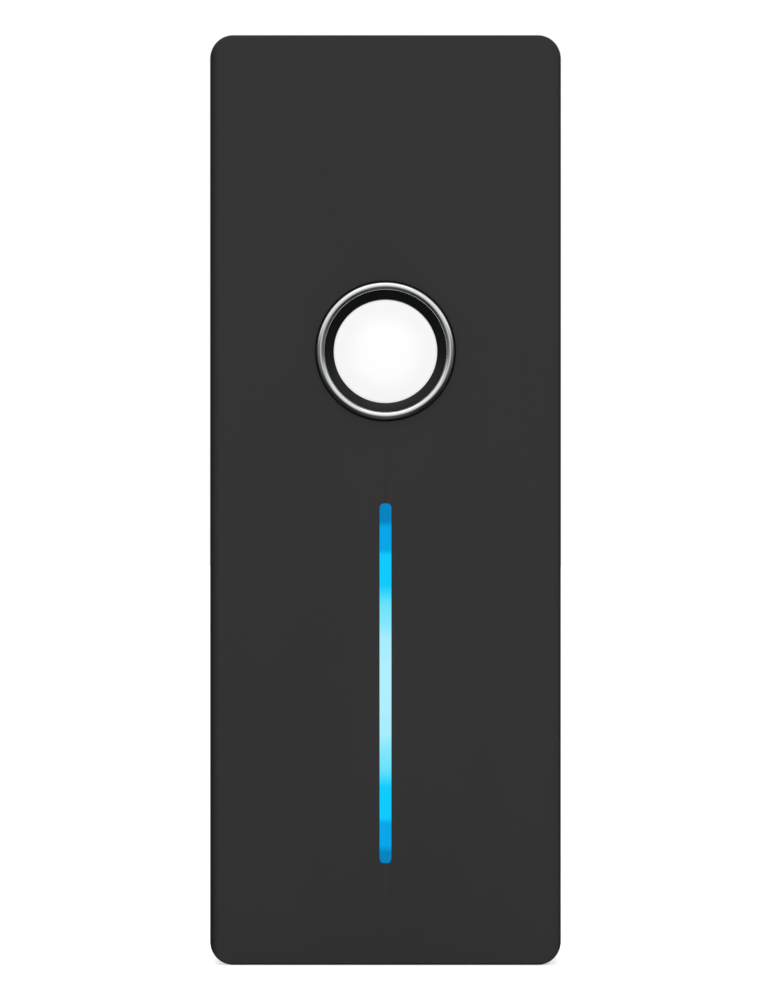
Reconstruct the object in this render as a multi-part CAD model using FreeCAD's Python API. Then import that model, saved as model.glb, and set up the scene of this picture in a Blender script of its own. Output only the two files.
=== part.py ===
import FreeCAD, Part
import math
import os

# A slim wall-mounted video doorbell, modelled as separate solids in millimetres.
# X runs to the right as seen from the front, Z is up, and Y points into the wall.
# The origin is the centre of the wall plate's back face, midway between the two wall screws.
# A depth is a distance from the wall towards the front, so the depth d lies at y = -d.

# ---------------------------------------------------------------- driving dimensions
WIDTH = 46.9
HEIGHT = 124.2
FRONT = 22.0  # depth of the front face
CORNER = 3.1  # outer corner radius, seen from the front
FIT = 0.1  # gap all round between casing parts that drop into each other
SNUG = 0.02  # radial gap of a pressed-in part

# Layers, by depth
PLATE_FRONT = 2.6
BODY_BACK = 3.0
COVER_FRONT = 5.0
PLUG_FRONT = 8.0
BOARD_BACK = 9.4
BOARD_FRONT = 10.6
FRONT_BOARD_BACK = 14.6
FRONT_BOARD_FRONT = 15.6
HOUSING_INNER = 18.2
HOUSING_FRONT = 20.0
FASCIA_BACK = 20.2

# Casing
SIDE_WALL = 2.0
CAVITY_CORNER = 1.1
LIP = 1.1  # housing wall left outside the rear cover
FASCIA_EDGE = 0.3
FASCIA_ROLL = 2.0  # width of the strip along each long side where the front rolls back
FASCIA_DROP = 0.35  # how far it has rolled back at the side
REAR_EDGE = 0.6
TAPE_INSET = 0.6
GROOVE = (6.0, 7.2)  # depths of the seal's groove in the rear cover
COVER_HEAD_SEAT = 4.2

# Door button, round the axis at height BUTTON_Z
BUTTON_Z = 19.9
BUTTON_HOLE_R = 9.36
RING_OUTER_R = 9.22
RING_INNER_R = 8.1
RING_SHOULDER = 22.35
RING_CREST = 22.95
RING_SPIGOT_R = 8.58
COLLAR_R = RING_INNER_R - SNUG
COLLAR_THROAT_R = 6.92
COLLAR_TOP = 22.1
COLLAR_THROAT_TOP = 21.55
COLLAR_STEP = 19.6
COLLAR_BORE_R = 7.6
COLLAR_BACK = 17.3
CAP_R = 6.84
CAP_FLANGE_R = 7.5
CAP_FLANGE_BACK = 18.7
CAP_INNER_R = 6.0
CAP_POST_R = 1.5
CAP_POST_BACK = 19.5
CAP_SHELL = 1.3
CAP_RIM = 20.75
CAP_SHOULDER = 21.05
CAP_CROWN = 21.35
BUTTON_TRAVEL = 0.8
SEAL_RIM_R = 8.0
SEAL_RIM_BACK = 16.4
SEAL_RIM_FRONT = 17.28
SEAL_FOOT_R = 6.6  # where the boot's cone springs from its rim
SEAL_PAD_R = 2.0
SEAL_PAD_FRONT = 19.48
SEAL_PAD_BACK = 19.22
SEAL_WALL = 0.3  # thickness of the boot's cone, along the depth
LAMP_RING_R = 5.5
SWITCH_FRONT = 18.0
PLUNGER_BACK = 16.9
PLUNGER_FRONT = 19.2
PLUNGER_STEM_R = 1.7

# Light bar, a thin upright strip below the button
BAR_Z = -24.5
BAR_WIDTH = 1.5
BAR_LENGTH = 48.0
BAR_CORNER = 0.53
BAR_SLOT_GAP = 0.04
BAR_FLANGE_WIDTH = 4.0
BAR_FLANGE_OVER = 2.4  # how much longer the flange is than the strip
BAR_FLANGE_BACK = 18.6
BAR_GUIDE_BACK = 16.8
BAR_LED_COUNT = 10
BAR_LED_PITCH = 4.9
LED_FRONT = 16.3

# Camera, above the button and behind the smoked fascia
CAMERA_Z = 45.5
CAMERA_HOLE_R = 7.0
LENS_HEAD_R = 5.5
LENS_BODY_R = 4.5
LENS_HEAD_BACK = 17.0
LENS_BACK = 14.4
LENS_FRONT = 19.9
LENS_GLASS_R = 4.8
LENS_BORE_R = 3.4
SENSOR_BOARD_BACK = 11.4
SENSOR_BOARD_FRONT = 12.2
BRACKET_BACK = 13.8
INFRARED_Z = 56.5
INFRARED_X = 9.0
INFRARED_WINDOW_R = 2.4
INFRARED_BOARD_FRONT = 16.0

# Wall plate, its hooks and its latch
PLATE_INSET = 1.4
PLATE_CORNER = 2.2
PLATE_EDGE = 0.4
SCREW_SPACING = 68.0
SCREW_SLOT_R = 2.2
SCREW_SLOT_LENGTH = 8.0
SCREW_HEAD_R = 4.7
SCREW_HEAD_SEAT = 1.2
WIRE_OPENING = (24.0, 34.0)
HOOK_X = 8.0
HOOK_WIDTH = 5.0
TILT_Z = 55.5  # height and depth of the axis that the body tilts about on its hooks
TILT_DEPTH = 5.5
KNUCKLE_R = 1.1  # the hooks' round ends, on that axis
KNUCKLE_GAP = 0.08
LATCH_TRAVEL = 1.5
LATCH_FOOT = -57.0
LATCH_TOP = -48.0
LATCH_POCKET_TOP = -42.0
LATCH_POCKET_DEPTH = 1.9
LATCH_WIDTH = 14.0
LATCH_NOSE_WIDTH = 6.0

# Shield over the processor
SHIELD_Z = 8.0
SHIELD_FRONT = 12.6

# Wire terminals, in a recess of the rear cover
TERMINAL_X = 6.0
TERMINAL_Z = -2.0
TERMINAL_FLOOR = 6.6
RECESS = ((-12.0, 12.0), (-7.0, 9.0))
WASHER_BACK = 6.0
INSERT_R = 2.4
TERMINAL_SCREW_R = 1.5

# Setup button, in the rear cover
SETUP_X = 9.0
SETUP_Z = 28.0
SETUP_R = 2.4
SETUP_TRAVEL = 0.3
SETUP_FLANGE_FRONT = 5.8
SETUP_STEM_FRONT = 6.9
SETUP_PLUNGER_FRONT = 8.3

# Sound, at the foot of the housing
SOUND_DEPTH = (8.6, 17.6)
SOUND_SLOT = (10.2, 16.0)
SPEAKER_X = (-12.0, 12.0)
SPEAKER_TOP = -55.2
SOUND_FLOOR = -60.0
GASKET = 0.4
MICROPHONE_X = 16.0
MICROPHONE_DEPTH = 13.1

# Screws
COVER_SCREWS = [(x, z) for x in (-16.4, 16.4) for z in (-55.0, 55.0)]
BOARD_SCREWS = [(x, z) for x in (-17.4, 17.4) for z in (-28.0, 28.0)]
FRONT_BOARD_SCREWS = [(x, z) for x in (-9.5, 9.5) for z in (-48.0, 5.0)]
CAMERA_SCREWS = [(x, CAMERA_Z) for x in (-13.0, 13.0)]
M2_R = 1.0
M2_HEAD_R = 1.8
M16_R = 0.8
M16_HEAD_R = 1.5

BEYOND = 1.0  # how far a cutting tool runs past the face that it cuts


# ---------------------------------------------------------------- shape helpers
def point(x, depth, z):
    return FreeCAD.Vector(x, -depth, z)


def block(x, depth, z):
    """A box from its ranges in x, depth and z."""
    corner = point(x[0], depth[1], z[0])
    return Part.makeBox(x[1] - x[0], depth[1] - depth[0], z[1] - z[0], corner)


def slab(width, height, radius, depth, x=0.0, z=0.0):
    """A rounded rectangle, seen from the front, between two depths."""
    body = block((x - width / 2, x + width / 2), depth, (z - height / 2, z + height / 2))
    upright = [e for e in body.Edges if abs(e.tangentAt(e.FirstParameter).y) > 0.99]
    return body.makeFillet(radius, upright)


def rod(radius, depth, x=0.0, z=0.0):
    """A cylinder along the depth direction."""
    return Part.makeCylinder(radius, depth[1] - depth[0], point(x, depth[1], z), FreeCAD.Vector(0, 1, 0))


def tube(outer, inner, depth, x=0.0, z=0.0):
    return rod(outer, depth, x, z).cut(rod(inner, depth, x, z))


def stadium(width, length, depth, x=0.0, z=0.0):
    """An upright slot shape with round ends, between two depths."""
    half = (length - width) / 2
    middle = block((x - width / 2, x + width / 2), depth, (z - half, z + half))
    ends = [rod(width / 2, depth, x, z + side * half) for side in (-1, 1)]
    return middle.fuse(ends).removeSplitter()


def profile_wire(steps):
    """A closed wire in the plane x, depth; a step of two points is an arc through the first to the second."""
    at = point(steps[0][0], steps[0][1], 0)
    first = at
    edges = []
    for step in steps[1:]:
        if isinstance(step[0], tuple):
            middle, end = (point(r, d, 0) for r, d in step)
            edges.append(Part.Arc(at, middle, end).toShape())
        else:
            end = point(step[0], step[1], 0)
            edges.append(Part.LineSegment(at, end).toShape())
        at = end
    edges.append(Part.LineSegment(at, first).toShape())
    return Part.Wire(edges)


def lathe(steps, x=0.0, z=0.0):
    """Turns a profile of (radius, depth) steps round an axis along the depth direction."""
    turned = Part.Face(profile_wire(steps)).revolve(point(0, 0, 0), FreeCAD.Vector(0, 1, 0), 360)
    turned.translate(FreeCAD.Vector(x, 0, z))
    return turned


def cross_rod(radius, x, depth, z):
    """A cylinder across the width."""
    return Part.makeCylinder(radius, x[1] - x[0], point(x[0], depth, z), FreeCAD.Vector(1, 0, 0))


def side_profile(corners, x):
    """A prism across the width from corners given as (z, depth)."""
    outline = [point(x[0], d, z) for z, d in corners]
    face = Part.Face(Part.makePolygon(outline + outline[:1]))
    return face.extrude(FreeCAD.Vector(x[1] - x[0], 0, 0))


def cut_all(body, tools):
    for tool in tools:
        body = body.cut(tool)
    return body


def fuse_all(body, others):
    return body.fuse(others).removeSplitter()


def group(solids):
    return Part.makeCompound(solids)


def outer_edges(shape, depth):
    """The edges of the shape's outline that lie wholly at one depth."""
    bounds = shape.BoundBox
    reach = 0.3 * bounds.XLength
    found = []
    for edge in shape.Edges:
        flat = all(abs(v.Point.y + depth) < 1e-6 for v in edge.Vertexes)
        centre = edge.CenterOfMass
        outside = abs(centre.x) > reach or abs(centre.z) > bounds.ZMax - CORNER
        if flat and outside:
            found.append(edge)
    return found


def screw(head_r, head, shank_r, tip, x, z, slot=0.0):
    """A pan-head screw put in from the back: head is its depth range, and tip is where the shank ends."""
    body = rod(head_r, head, x, z).fuse(rod(shank_r, (head[1], tip), x, z)).removeSplitter()
    if slot:
        reach = 0.65 * head_r
        deep = (head[0] - BEYOND, head[0] + slot)
        half = 0.3
        body = body.cut(block((x - reach, x + reach), deep, (z - half, z + half)))
        body = body.cut(block((x - half, x + half), deep, (z - reach, z + reach)))
    return body


# ---------------------------------------------------------------- wall plate and latch
def wall_plate():
    width, height = WIDTH - 2 * PLATE_INSET, HEIGHT - 2 * PLATE_INSET
    top = height / 2
    plate = slab(width, height, PLATE_CORNER, (0, PLATE_FRONT))
    plate = plate.makeFillet(PLATE_EDGE, outer_edges(plate, 0))
    # The top falls away so that the body can tilt over it.
    slope = [(TILT_Z - 0.3, PLATE_FRONT), (top + BEYOND, 1.0), (top + BEYOND, 3.0), (TILT_Z - 0.3, 3.0)]
    through = (-BEYOND, PLATE_FRONT + BEYOND)
    cuts = [side_profile(slope, (-WIDTH / 2, WIDTH / 2)), slab(*WIRE_OPENING, 3.0, through)]
    for z in (-SCREW_SPACING / 2, SCREW_SPACING / 2):
        cuts.append(stadium(2 * SCREW_SLOT_R, SCREW_SLOT_LENGTH, through, 0, z))
        head = (SCREW_HEAD_SEAT, PLATE_FRONT + BEYOND)
        cuts.append(stadium(2 * SCREW_HEAD_R, SCREW_SLOT_LENGTH + 5.0, head, 0, z))
    # The latch slides in a pocket open to the wall; the skin left in front of it holds it in.
    half, spring_half, nose_half = LATCH_WIDTH / 2 + FIT, 1.2, LATCH_NOSE_WIDTH / 2 + 0.2
    pocket = (-BEYOND, LATCH_POCKET_DEPTH)
    cuts.append(block((-half, half), pocket, (LATCH_FOOT, LATCH_TOP + LATCH_TRAVEL + 0.2)))
    cuts.append(block((-spring_half, spring_half), pocket, (LATCH_TOP, LATCH_POCKET_TOP)))
    cuts.append(block((-nose_half, nose_half), through, (-54.3, -49.6)))
    pin_hole = Part.makeCylinder(0.6, 5.0, point(0, 1.0, LATCH_FOOT - 4.5), FreeCAD.Vector(0, 0, 1))
    cuts.append(pin_hole)
    # Shallow ribbed pockets in the back keep the moulding's walls even.
    pockets = []
    shallow = (-BEYOND, 1.0)
    for side in (-1, 1):
        for up in (-1, 1):
            for row in range(3):
                pockets.append(slab(12.0, 4.5, 1.0, shallow, side * 13.0, up * (24.4 + 5.5 * row)))
                pockets.append(slab(3.8, 4.2, 0.8, shallow, side * 17.2, up * (2.8 + 5.2 * row)))
    plate = cut_all(plate, cuts + pockets)
    hooks = []
    for x in (-HOOK_X, HOOK_X):
        across = (x - HOOK_WIDTH / 2, x + HOOK_WIDTH / 2)
        front = TILT_DEPTH + KNUCKLE_R
        hooks.append(block(across, (2.0, front), (TILT_Z - 2.7, TILT_Z - 1.4)))
        hooks.append(block(across, (TILT_DEPTH - 0.5, front), (TILT_Z - 2.0, TILT_Z)))
        hooks.append(cross_rod(KNUCKLE_R, across, TILT_DEPTH, TILT_Z))
    return fuse_all(plate, hooks)


def latch_slider():
    """Held down by its spring; a pin through the plate's lower edge lifts it."""
    half, nose_half = LATCH_WIDTH / 2, LATCH_NOSE_WIDTH / 2
    foot = block((-half, half), (0.1, LATCH_POCKET_DEPTH - 0.1), (LATCH_FOOT, LATCH_TOP))
    nose = [(-51.3, 1.7), (-51.3, 5.2), (-51.7, 5.6), (-53.3, 5.6), (-54.0, 4.9), (-54.0, 4.5)]
    nose += [(-52.9, 4.5), (-52.9, 1.7)]
    return fuse_all(foot, [side_profile(nose, (-nose_half, nose_half))])


def latch_spring():
    wire_r, coil_r, turns = 0.15, 0.7, 9
    length = LATCH_POCKET_TOP - LATCH_TOP - 2 * wire_r - 0.02
    helix = Part.makeHelix(length / turns, length, coil_r)
    section = Part.Wire(Part.makeCircle(wire_r, FreeCAD.Vector(coil_r, 0, 0), FreeCAD.Vector(0, 1, 0)))
    coil = Part.Wire(helix.Edges).makePipeShell([section], True, True)
    coil.translate(point(0, 0.95, LATCH_TOP + wire_r + 0.01))
    return coil


# ---------------------------------------------------------------- casing
def rolled_section():
    """The fascia's cross-section in the plane x, depth, with both long sides rolled back."""
    half = WIDTH / 2
    radius = (FASCIA_ROLL**2 + FASCIA_DROP**2) / (2 * FASCIA_DROP)
    turn = math.asin(FASCIA_ROLL / radius) / 2
    middle = (half - FASCIA_ROLL + radius * math.sin(turn), FRONT - radius * (1 - math.cos(turn)))
    steps = [
        (half, FASCIA_BACK),
        (half, FRONT - FASCIA_DROP),
        (middle, (half - FASCIA_ROLL, FRONT)),
        (FASCIA_ROLL - half, FRONT),
        ((-middle[0], middle[1]), (-half, FRONT - FASCIA_DROP)),
        (-half, FASCIA_BACK),
    ]
    return Part.Face(profile_wire(steps))


def front_rim(plate):
    """The edges round the front of the fascia's outline."""
    inside = slab(WIDTH - 2, HEIGHT - 2, CORNER - 1, (FASCIA_BACK - BEYOND, FRONT + BEYOND))
    rim = []
    for edge in plate.Edges:
        across = abs(edge.tangentAt(edge.FirstParameter).y) > 0.99
        at_back = edge.BoundBox.YMax > -(FASCIA_BACK + 0.01)
        if not (across or at_back or inside.isInside(edge.CenterOfMass, 1e-6, True)):
            rim.append(edge)
    return rim


def front_fascia():
    """The smoked front plate; camera and infrared lamps look through it."""
    section = rolled_section()
    section.translate(FreeCAD.Vector(0, 0, -HEIGHT / 2))
    plate = section.extrude(FreeCAD.Vector(0, 0, HEIGHT))
    plate = plate.common(slab(WIDTH, HEIGHT, CORNER, (FASCIA_BACK, FRONT)))
    plate = plate.makeFillet(FASCIA_EDGE, front_rim(plate))
    through = (FASCIA_BACK - BEYOND, FRONT + BEYOND)
    around = 2 * BAR_SLOT_GAP
    slot = slab(BAR_WIDTH + around, BAR_LENGTH + around, BAR_CORNER + BAR_SLOT_GAP, through, 0, BAR_Z)
    return cut_all(plate, [rod(BUTTON_HOLE_R, through, 0, BUTTON_Z), slot])


def front_windows(depth, extra=0.0):
    """Openings for the camera, its lamps and the light bar's flange."""
    width, length = BAR_FLANGE_WIDTH + 0.2, BAR_LENGTH + BAR_FLANGE_OVER + 0.2
    windows = [rod(CAMERA_HOLE_R + extra, depth, 0, CAMERA_Z)]
    windows.append(stadium(width + 2 * extra, length + 2 * extra, depth, 0, BAR_Z))
    for x in (-INFRARED_X, INFRARED_X):
        windows.append(rod(INFRARED_WINDOW_R + extra, depth, x, INFRARED_Z))
    return windows


def fascia_tape():
    """Die-cut adhesive that bonds the fascia to the housing."""
    layer = (HOUSING_FRONT, FASCIA_BACK)
    tape = slab(WIDTH - 2 * TAPE_INSET, HEIGHT - 2 * TAPE_INSET, CORNER - TAPE_INSET, layer)
    through = (HOUSING_FRONT - BEYOND, FASCIA_BACK + BEYOND)
    return cut_all(tape, front_windows(through, 0.2) + [rod(BUTTON_HOLE_R + 0.2, through, 0, BUTTON_Z)])


def speaker_slots():
    """Round-ended slots through the bottom wall, and the microphone's hole."""
    upwards = FreeCAD.Vector(0, 0, 1)
    floor = -HEIGHT / 2 - BEYOND
    tall = SIDE_WALL + 2 * BEYOND
    pitch, half = 2.4, 0.55
    tools = []
    for index in range(-4, 5):
        x = index * pitch
        tools.append(block((x - half, x + half), SOUND_SLOT, (floor, floor + tall)))
        for depth in SOUND_SLOT:
            tools.append(Part.makeCylinder(half, tall, point(x, depth, floor), upwards))
    tools.append(Part.makeCylinder(0.6, tall, point(MICROPHONE_X, MICROPHONE_DEPTH, floor), upwards))
    return tools


def front_housing():
    """The tub that everything is built into, open at the back."""
    shell = slab(WIDTH, HEIGHT, CORNER, (BODY_BACK, HOUSING_FRONT))
    shell = shell.makeFillet(REAR_EDGE, outer_edges(shell, BODY_BACK))
    behind = BODY_BACK - BEYOND
    cavity = slab(WIDTH - 2 * SIDE_WALL, HEIGHT - 2 * SIDE_WALL, CAVITY_CORNER, (behind, HOUSING_INNER))
    rabbet = slab(WIDTH - 2 * LIP, HEIGHT - 2 * LIP, CORNER - LIP, (behind, COVER_FRONT))
    shell = cut_all(shell, [cavity, rabbet])
    posts = [rod(2.5, (COVER_FRONT, HOUSING_INNER), x, z) for x, z in COVER_SCREWS]
    posts += [rod(2.0, (BOARD_FRONT, HOUSING_INNER), x, z) for x, z in BOARD_SCREWS]
    posts += [rod(1.8, (FRONT_BOARD_FRONT, HOUSING_INNER), x, z) for x, z in FRONT_BOARD_SCREWS]
    posts += [rod(2.0, (FRONT_BOARD_BACK, HOUSING_INNER), x, z) for x, z in CAMERA_SCREWS]
    shell = fuse_all(shell, posts)
    through = (HOUSING_INNER - BEYOND, HOUSING_FRONT + BEYOND)
    cuts = front_windows(through) + speaker_slots()
    cuts.append(rod(RING_SPIGOT_R + SNUG, through, 0, BUTTON_Z))
    cuts += [rod(M2_R + SNUG, (COVER_FRONT - BEYOND, 12.0), x, z) for x, z in COVER_SCREWS]
    cuts += [rod(M16_R + SNUG, (BOARD_FRONT - BEYOND, 14.6), x, z) for x, z in BOARD_SCREWS]
    cuts += [rod(M16_R + SNUG, (FRONT_BOARD_FRONT - BEYOND, 18.0), x, z) for x, z in FRONT_BOARD_SCREWS]
    cuts += [rod(M16_R + SNUG, (FRONT_BOARD_BACK - BEYOND, 18.0), x, z) for x, z in CAMERA_SCREWS]
    return cut_all(shell, cuts)


def rear_cover():
    width, height = WIDTH - 2 * LIP - 2 * FIT, HEIGHT - 2 * LIP - 2 * FIT
    cavity_w, cavity_h = WIDTH - 2 * SIDE_WALL, HEIGHT - 2 * SIDE_WALL
    plug_w, plug_h = cavity_w - 0.4, cavity_h - 0.4
    cover = slab(width, height, CORNER - LIP - FIT, (BODY_BACK, COVER_FRONT))
    plug = slab(plug_w, plug_h, 0.9, (COVER_FRONT, PLUG_FRONT))
    plug = plug.cut(slab(plug_w - 4.4, plug_h - 4.4, 0.8, (COVER_FRONT - BEYOND, PLUG_FRONT + BEYOND)))
    groove = slab(plug_w + BEYOND, plug_h + BEYOND, 0.9, GROOVE)
    plug = plug.cut(groove.cut(slab(plug_w - 1.8, plug_h - 1.8, 0.6, GROOVE)))
    (left, right), (low, high) = RECESS
    wall = 1.2
    pockets = [block((left - wall, right + wall), (4.0, TERMINAL_FLOOR + 1.5), (low - wall, high + wall))]
    for x in (-HOOK_X, HOOK_X):
        pockets.append(block((x - 4.2, x + 4.2), (4.0, 8.1), (TILT_Z - 4.4, TILT_Z + 2.3)))
    pockets.append(block((-4.4, 4.4), (4.0, 7.4), (-56.1, -48.3)))
    cover = fuse_all(cover, [plug] + pockets)

    behind = BODY_BACK - BEYOND
    middle = ((left + right) / 2, (low + high) / 2)
    cuts = [slab(right - left, high - low, 1.5, (behind, TERMINAL_FLOOR), *middle)]
    # The body hangs by the round seats in these pockets, and tilts on them.
    knuckle = KNUCKLE_R + KNUCKLE_GAP
    for x in (-HOOK_X, HOOK_X):
        across = (x - 3.1, x + 3.1)
        cuts.append(block(across, (behind, 7.1), (TILT_Z - 3.4, TILT_Z - 0.5)))
        cuts.append(block(across, (TILT_DEPTH, 7.1), (TILT_Z - 0.6, TILT_Z + knuckle)))
        cuts.append(block(across, (TILT_DEPTH - knuckle, 7.1), (TILT_Z - 0.6, TILT_Z)))
        cuts.append(cross_rod(knuckle, across, TILT_DEPTH, TILT_Z))
    cuts.append(block((-3.4, 3.4), (behind, 4.5), (-53.1, -49.5)))
    cuts.append(block((-3.4, 3.4), (4.1, 6.4), (-55.1, -49.5)))
    for z in (-SCREW_SPACING / 2, SCREW_SPACING / 2):
        cuts.append(stadium(11.0, 15.0, (behind, BODY_BACK + 1.0), 0, z))
    for x, z in COVER_SCREWS:
        cuts.append(rod(M2_HEAD_R + 0.15, (behind, COVER_HEAD_SEAT), x, z))
        cuts.append(rod(M2_R + 0.12, (COVER_HEAD_SEAT - 0.2, COVER_FRONT + BEYOND), x, z))
    cuts.append(rod(SETUP_R + 0.1, (behind, COVER_FRONT + BEYOND), SETUP_X, SETUP_Z))
    cuts.append(rod(0.6, (behind, COVER_FRONT + BEYOND), -SETUP_X, SETUP_Z))
    for x in (-TERMINAL_X, TERMINAL_X):
        cuts.append(rod(INSERT_R + SNUG, (WASHER_BACK, 9.0), x, TERMINAL_Z))
    cover = cut_all(cover, cuts)
    divider = block((-0.6, 0.6), (3.6, TERMINAL_FLOOR), (low, 3.0))
    return fuse_all(cover, [divider])


def cover_seal():
    """Silicone ring between the cover's plug and the housing wall."""
    cavity_w, cavity_h = WIDTH - 2 * SIDE_WALL, HEIGHT - 2 * SIDE_WALL
    back, front = GROOVE[0] + 0.05, GROOVE[1] - 0.05
    outer = slab(cavity_w, cavity_h, CAVITY_CORNER, (back, front))
    return outer.cut(slab(cavity_w - 2.2, cavity_h - 2.2, 0.6, (back - BEYOND, front + BEYOND)))


def cover_screws():
    head = (BODY_BACK + 0.1, COVER_HEAD_SEAT)
    return group([screw(M2_HEAD_R, head, M2_R, 11.0, x, z, 0.5) for x, z in COVER_SCREWS])


def pressure_vent():
    return rod(2.5, (COVER_FRONT, COVER_FRONT + 0.2), -SETUP_X, SETUP_Z)


# ---------------------------------------------------------------- door button
def button_ring():
    """Chromed trim ring with a half-round front."""
    middle = (RING_INNER_R + RING_OUTER_R) / 2
    steps = [
        (RING_INNER_R, 18.0),
        (RING_SPIGOT_R, 18.0),
        (RING_SPIGOT_R, HOUSING_FRONT),
        (RING_OUTER_R, HOUSING_FRONT),
        (RING_OUTER_R, RING_SHOULDER),
        ((middle, RING_CREST), (RING_INNER_R, RING_SHOULDER)),
    ]
    return lathe(steps, 0, BUTTON_Z)


def button_collar():
    """Black funnel between ring and cap; its step holds the cap in."""
    steps = [
        (COLLAR_R, COLLAR_BACK),
        (COLLAR_R, COLLAR_TOP),
        (COLLAR_THROAT_R, COLLAR_THROAT_TOP),
        (COLLAR_THROAT_R, COLLAR_STEP),
        (COLLAR_BORE_R, COLLAR_STEP),
        (COLLAR_BORE_R, COLLAR_BACK),
    ]
    return lathe(steps, 0, BUTTON_Z)


def button_cap():
    """Milky cap with a slightly domed face, a retaining flange and a post for the switch."""
    steps = [
        (0, CAP_POST_BACK),
        (0, CAP_CROWN),
        ((3.4, CAP_CROWN - 0.08), (6.6, CAP_SHOULDER)),
        ((CAP_R - 0.08, 20.95), (CAP_R, CAP_RIM)),
        (CAP_R, COLLAR_STEP),
        (CAP_FLANGE_R, COLLAR_STEP),
        (CAP_FLANGE_R, CAP_FLANGE_BACK),
        (CAP_INNER_R, CAP_FLANGE_BACK),
        (CAP_INNER_R, CAP_CROWN - CAP_SHELL),
        (CAP_POST_R, CAP_CROWN - CAP_SHELL),
        (CAP_POST_R, CAP_POST_BACK),
    ]
    return lathe(steps, 0, BUTTON_Z)


def button_seal():
    """Translucent silicone boot over the switch; its pad takes the cap's post."""
    steps = [
        (0, SEAL_PAD_BACK),
        (0, SEAL_PAD_FRONT),
        (SEAL_PAD_R, SEAL_PAD_FRONT),
        (SEAL_FOOT_R, SEAL_RIM_FRONT),
        (SEAL_RIM_R, SEAL_RIM_FRONT),
        (SEAL_RIM_R, SEAL_RIM_BACK),
        (SEAL_FOOT_R, SEAL_RIM_BACK),
        (SEAL_FOOT_R, SEAL_RIM_FRONT - SEAL_WALL),
        (SEAL_PAD_R, SEAL_PAD_BACK),
    ]
    return lathe(steps, 0, BUTTON_Z)


def button_light_well():
    return tube(SEAL_RIM_R, SEAL_FOOT_R + 0.1, (FRONT_BOARD_FRONT, SEAL_RIM_BACK), 0, BUTTON_Z)


def button_leds():
    lamps = []
    for angle in (0, 90, 180, 270):
        x = LAMP_RING_R * math.cos(math.radians(angle))
        z = BUTTON_Z + LAMP_RING_R * math.sin(math.radians(angle))
        lamps.append(block((x - 0.7, x + 0.7), (FRONT_BOARD_FRONT, LED_FRONT), (z - 0.7, z + 0.7)))
    return group(lamps)


def button_switch():
    body = block((-3, 3), (FRONT_BOARD_FRONT, SWITCH_FRONT), (BUTTON_Z - 3, BUTTON_Z + 3))
    floor = PLUNGER_BACK - BUTTON_TRAVEL - 0.1
    room = rod(SEAL_PAD_R + 0.1, (floor, PLUNGER_BACK + 0.5), 0, BUTTON_Z)
    bore = rod(PLUNGER_STEM_R + 0.05, (PLUNGER_BACK - 0.4, SWITCH_FRONT + BEYOND), 0, BUTTON_Z)
    return cut_all(body, [room, bore])


def button_plunger():
    stem = rod(PLUNGER_STEM_R, (PLUNGER_BACK, PLUNGER_FRONT), 0, BUTTON_Z)
    return fuse_all(stem, [rod(SEAL_PAD_R, (PLUNGER_BACK, PLUNGER_BACK + 0.4), 0, BUTTON_Z)])


# ---------------------------------------------------------------- light bar
def light_bar_lens():
    strip = slab(BAR_WIDTH, BAR_LENGTH, BAR_CORNER, (FASCIA_BACK, FRONT - 0.05), 0, BAR_Z)
    length = BAR_LENGTH + BAR_FLANGE_OVER
    return fuse_all(stadium(BAR_FLANGE_WIDTH, length, (BAR_FLANGE_BACK, FASCIA_BACK), 0, BAR_Z), [strip])


def light_bar_guide():
    return stadium(3.6, BAR_LENGTH + 2.0, (BAR_GUIDE_BACK, BAR_FLANGE_BACK), 0, BAR_Z)


def light_bar_reflector():
    """White channel round the lamps and the guide."""
    half = BAR_LENGTH / 2 + 2.4
    outer = block((-3.4, 3.4), (FRONT_BOARD_FRONT, HOUSING_INNER), (BAR_Z - half, BAR_Z + half))
    channel = (FRONT_BOARD_FRONT - BEYOND, HOUSING_INNER + BEYOND)
    return outer.cut(stadium(3.8, BAR_LENGTH + 2.2, channel, 0, BAR_Z))


def light_bar_leds():
    first = BAR_Z - BAR_LED_PITCH * (BAR_LED_COUNT - 1) / 2
    heights = [first + BAR_LED_PITCH * index for index in range(BAR_LED_COUNT)]
    return group([block((-0.8, 0.8), (FRONT_BOARD_FRONT, LED_FRONT), (z - 0.8, z + 0.8)) for z in heights])


def front_board():
    """Carries the button's switch and lamps and the light bar's lamps."""
    board = slab(24.0, 81.0, 1.5, (FRONT_BOARD_BACK, FRONT_BOARD_FRONT), 0, -10.5)
    through = (FRONT_BOARD_BACK - BEYOND, FRONT_BOARD_FRONT + BEYOND)
    return cut_all(board, [rod(M16_R + 0.1, through, x, z) for x, z in FRONT_BOARD_SCREWS])


def front_board_screws():
    head = (FRONT_BOARD_BACK - 0.9, FRONT_BOARD_BACK)
    return group([screw(M16_HEAD_R, head, M16_R, 17.6, x, z) for x, z in FRONT_BOARD_SCREWS])


# ---------------------------------------------------------------- camera
def lens_barrel():
    barrel = rod(LENS_BODY_R, (LENS_BACK, LENS_HEAD_BACK), 0, CAMERA_Z)
    barrel = fuse_all(barrel, [rod(LENS_HEAD_R, (LENS_HEAD_BACK, LENS_FRONT), 0, CAMERA_Z)])
    seat = rod(LENS_GLASS_R, (18.2, LENS_FRONT + BEYOND), 0, CAMERA_Z)
    bore = rod(LENS_BORE_R, (LENS_BACK - BEYOND, LENS_FRONT), 0, CAMERA_Z)
    return cut_all(barrel, [seat, bore])


def lens_front_glass():
    """Domed outer element of the wide-angle lens."""
    radius = LENS_GLASS_R - SNUG
    steps = [(0, 18.7), (0, 20.05), ((2.6, 19.65), (radius, 18.6)), (radius, 18.2), (3.2, 18.2)]
    return lathe(steps, 0, CAMERA_Z)


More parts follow.
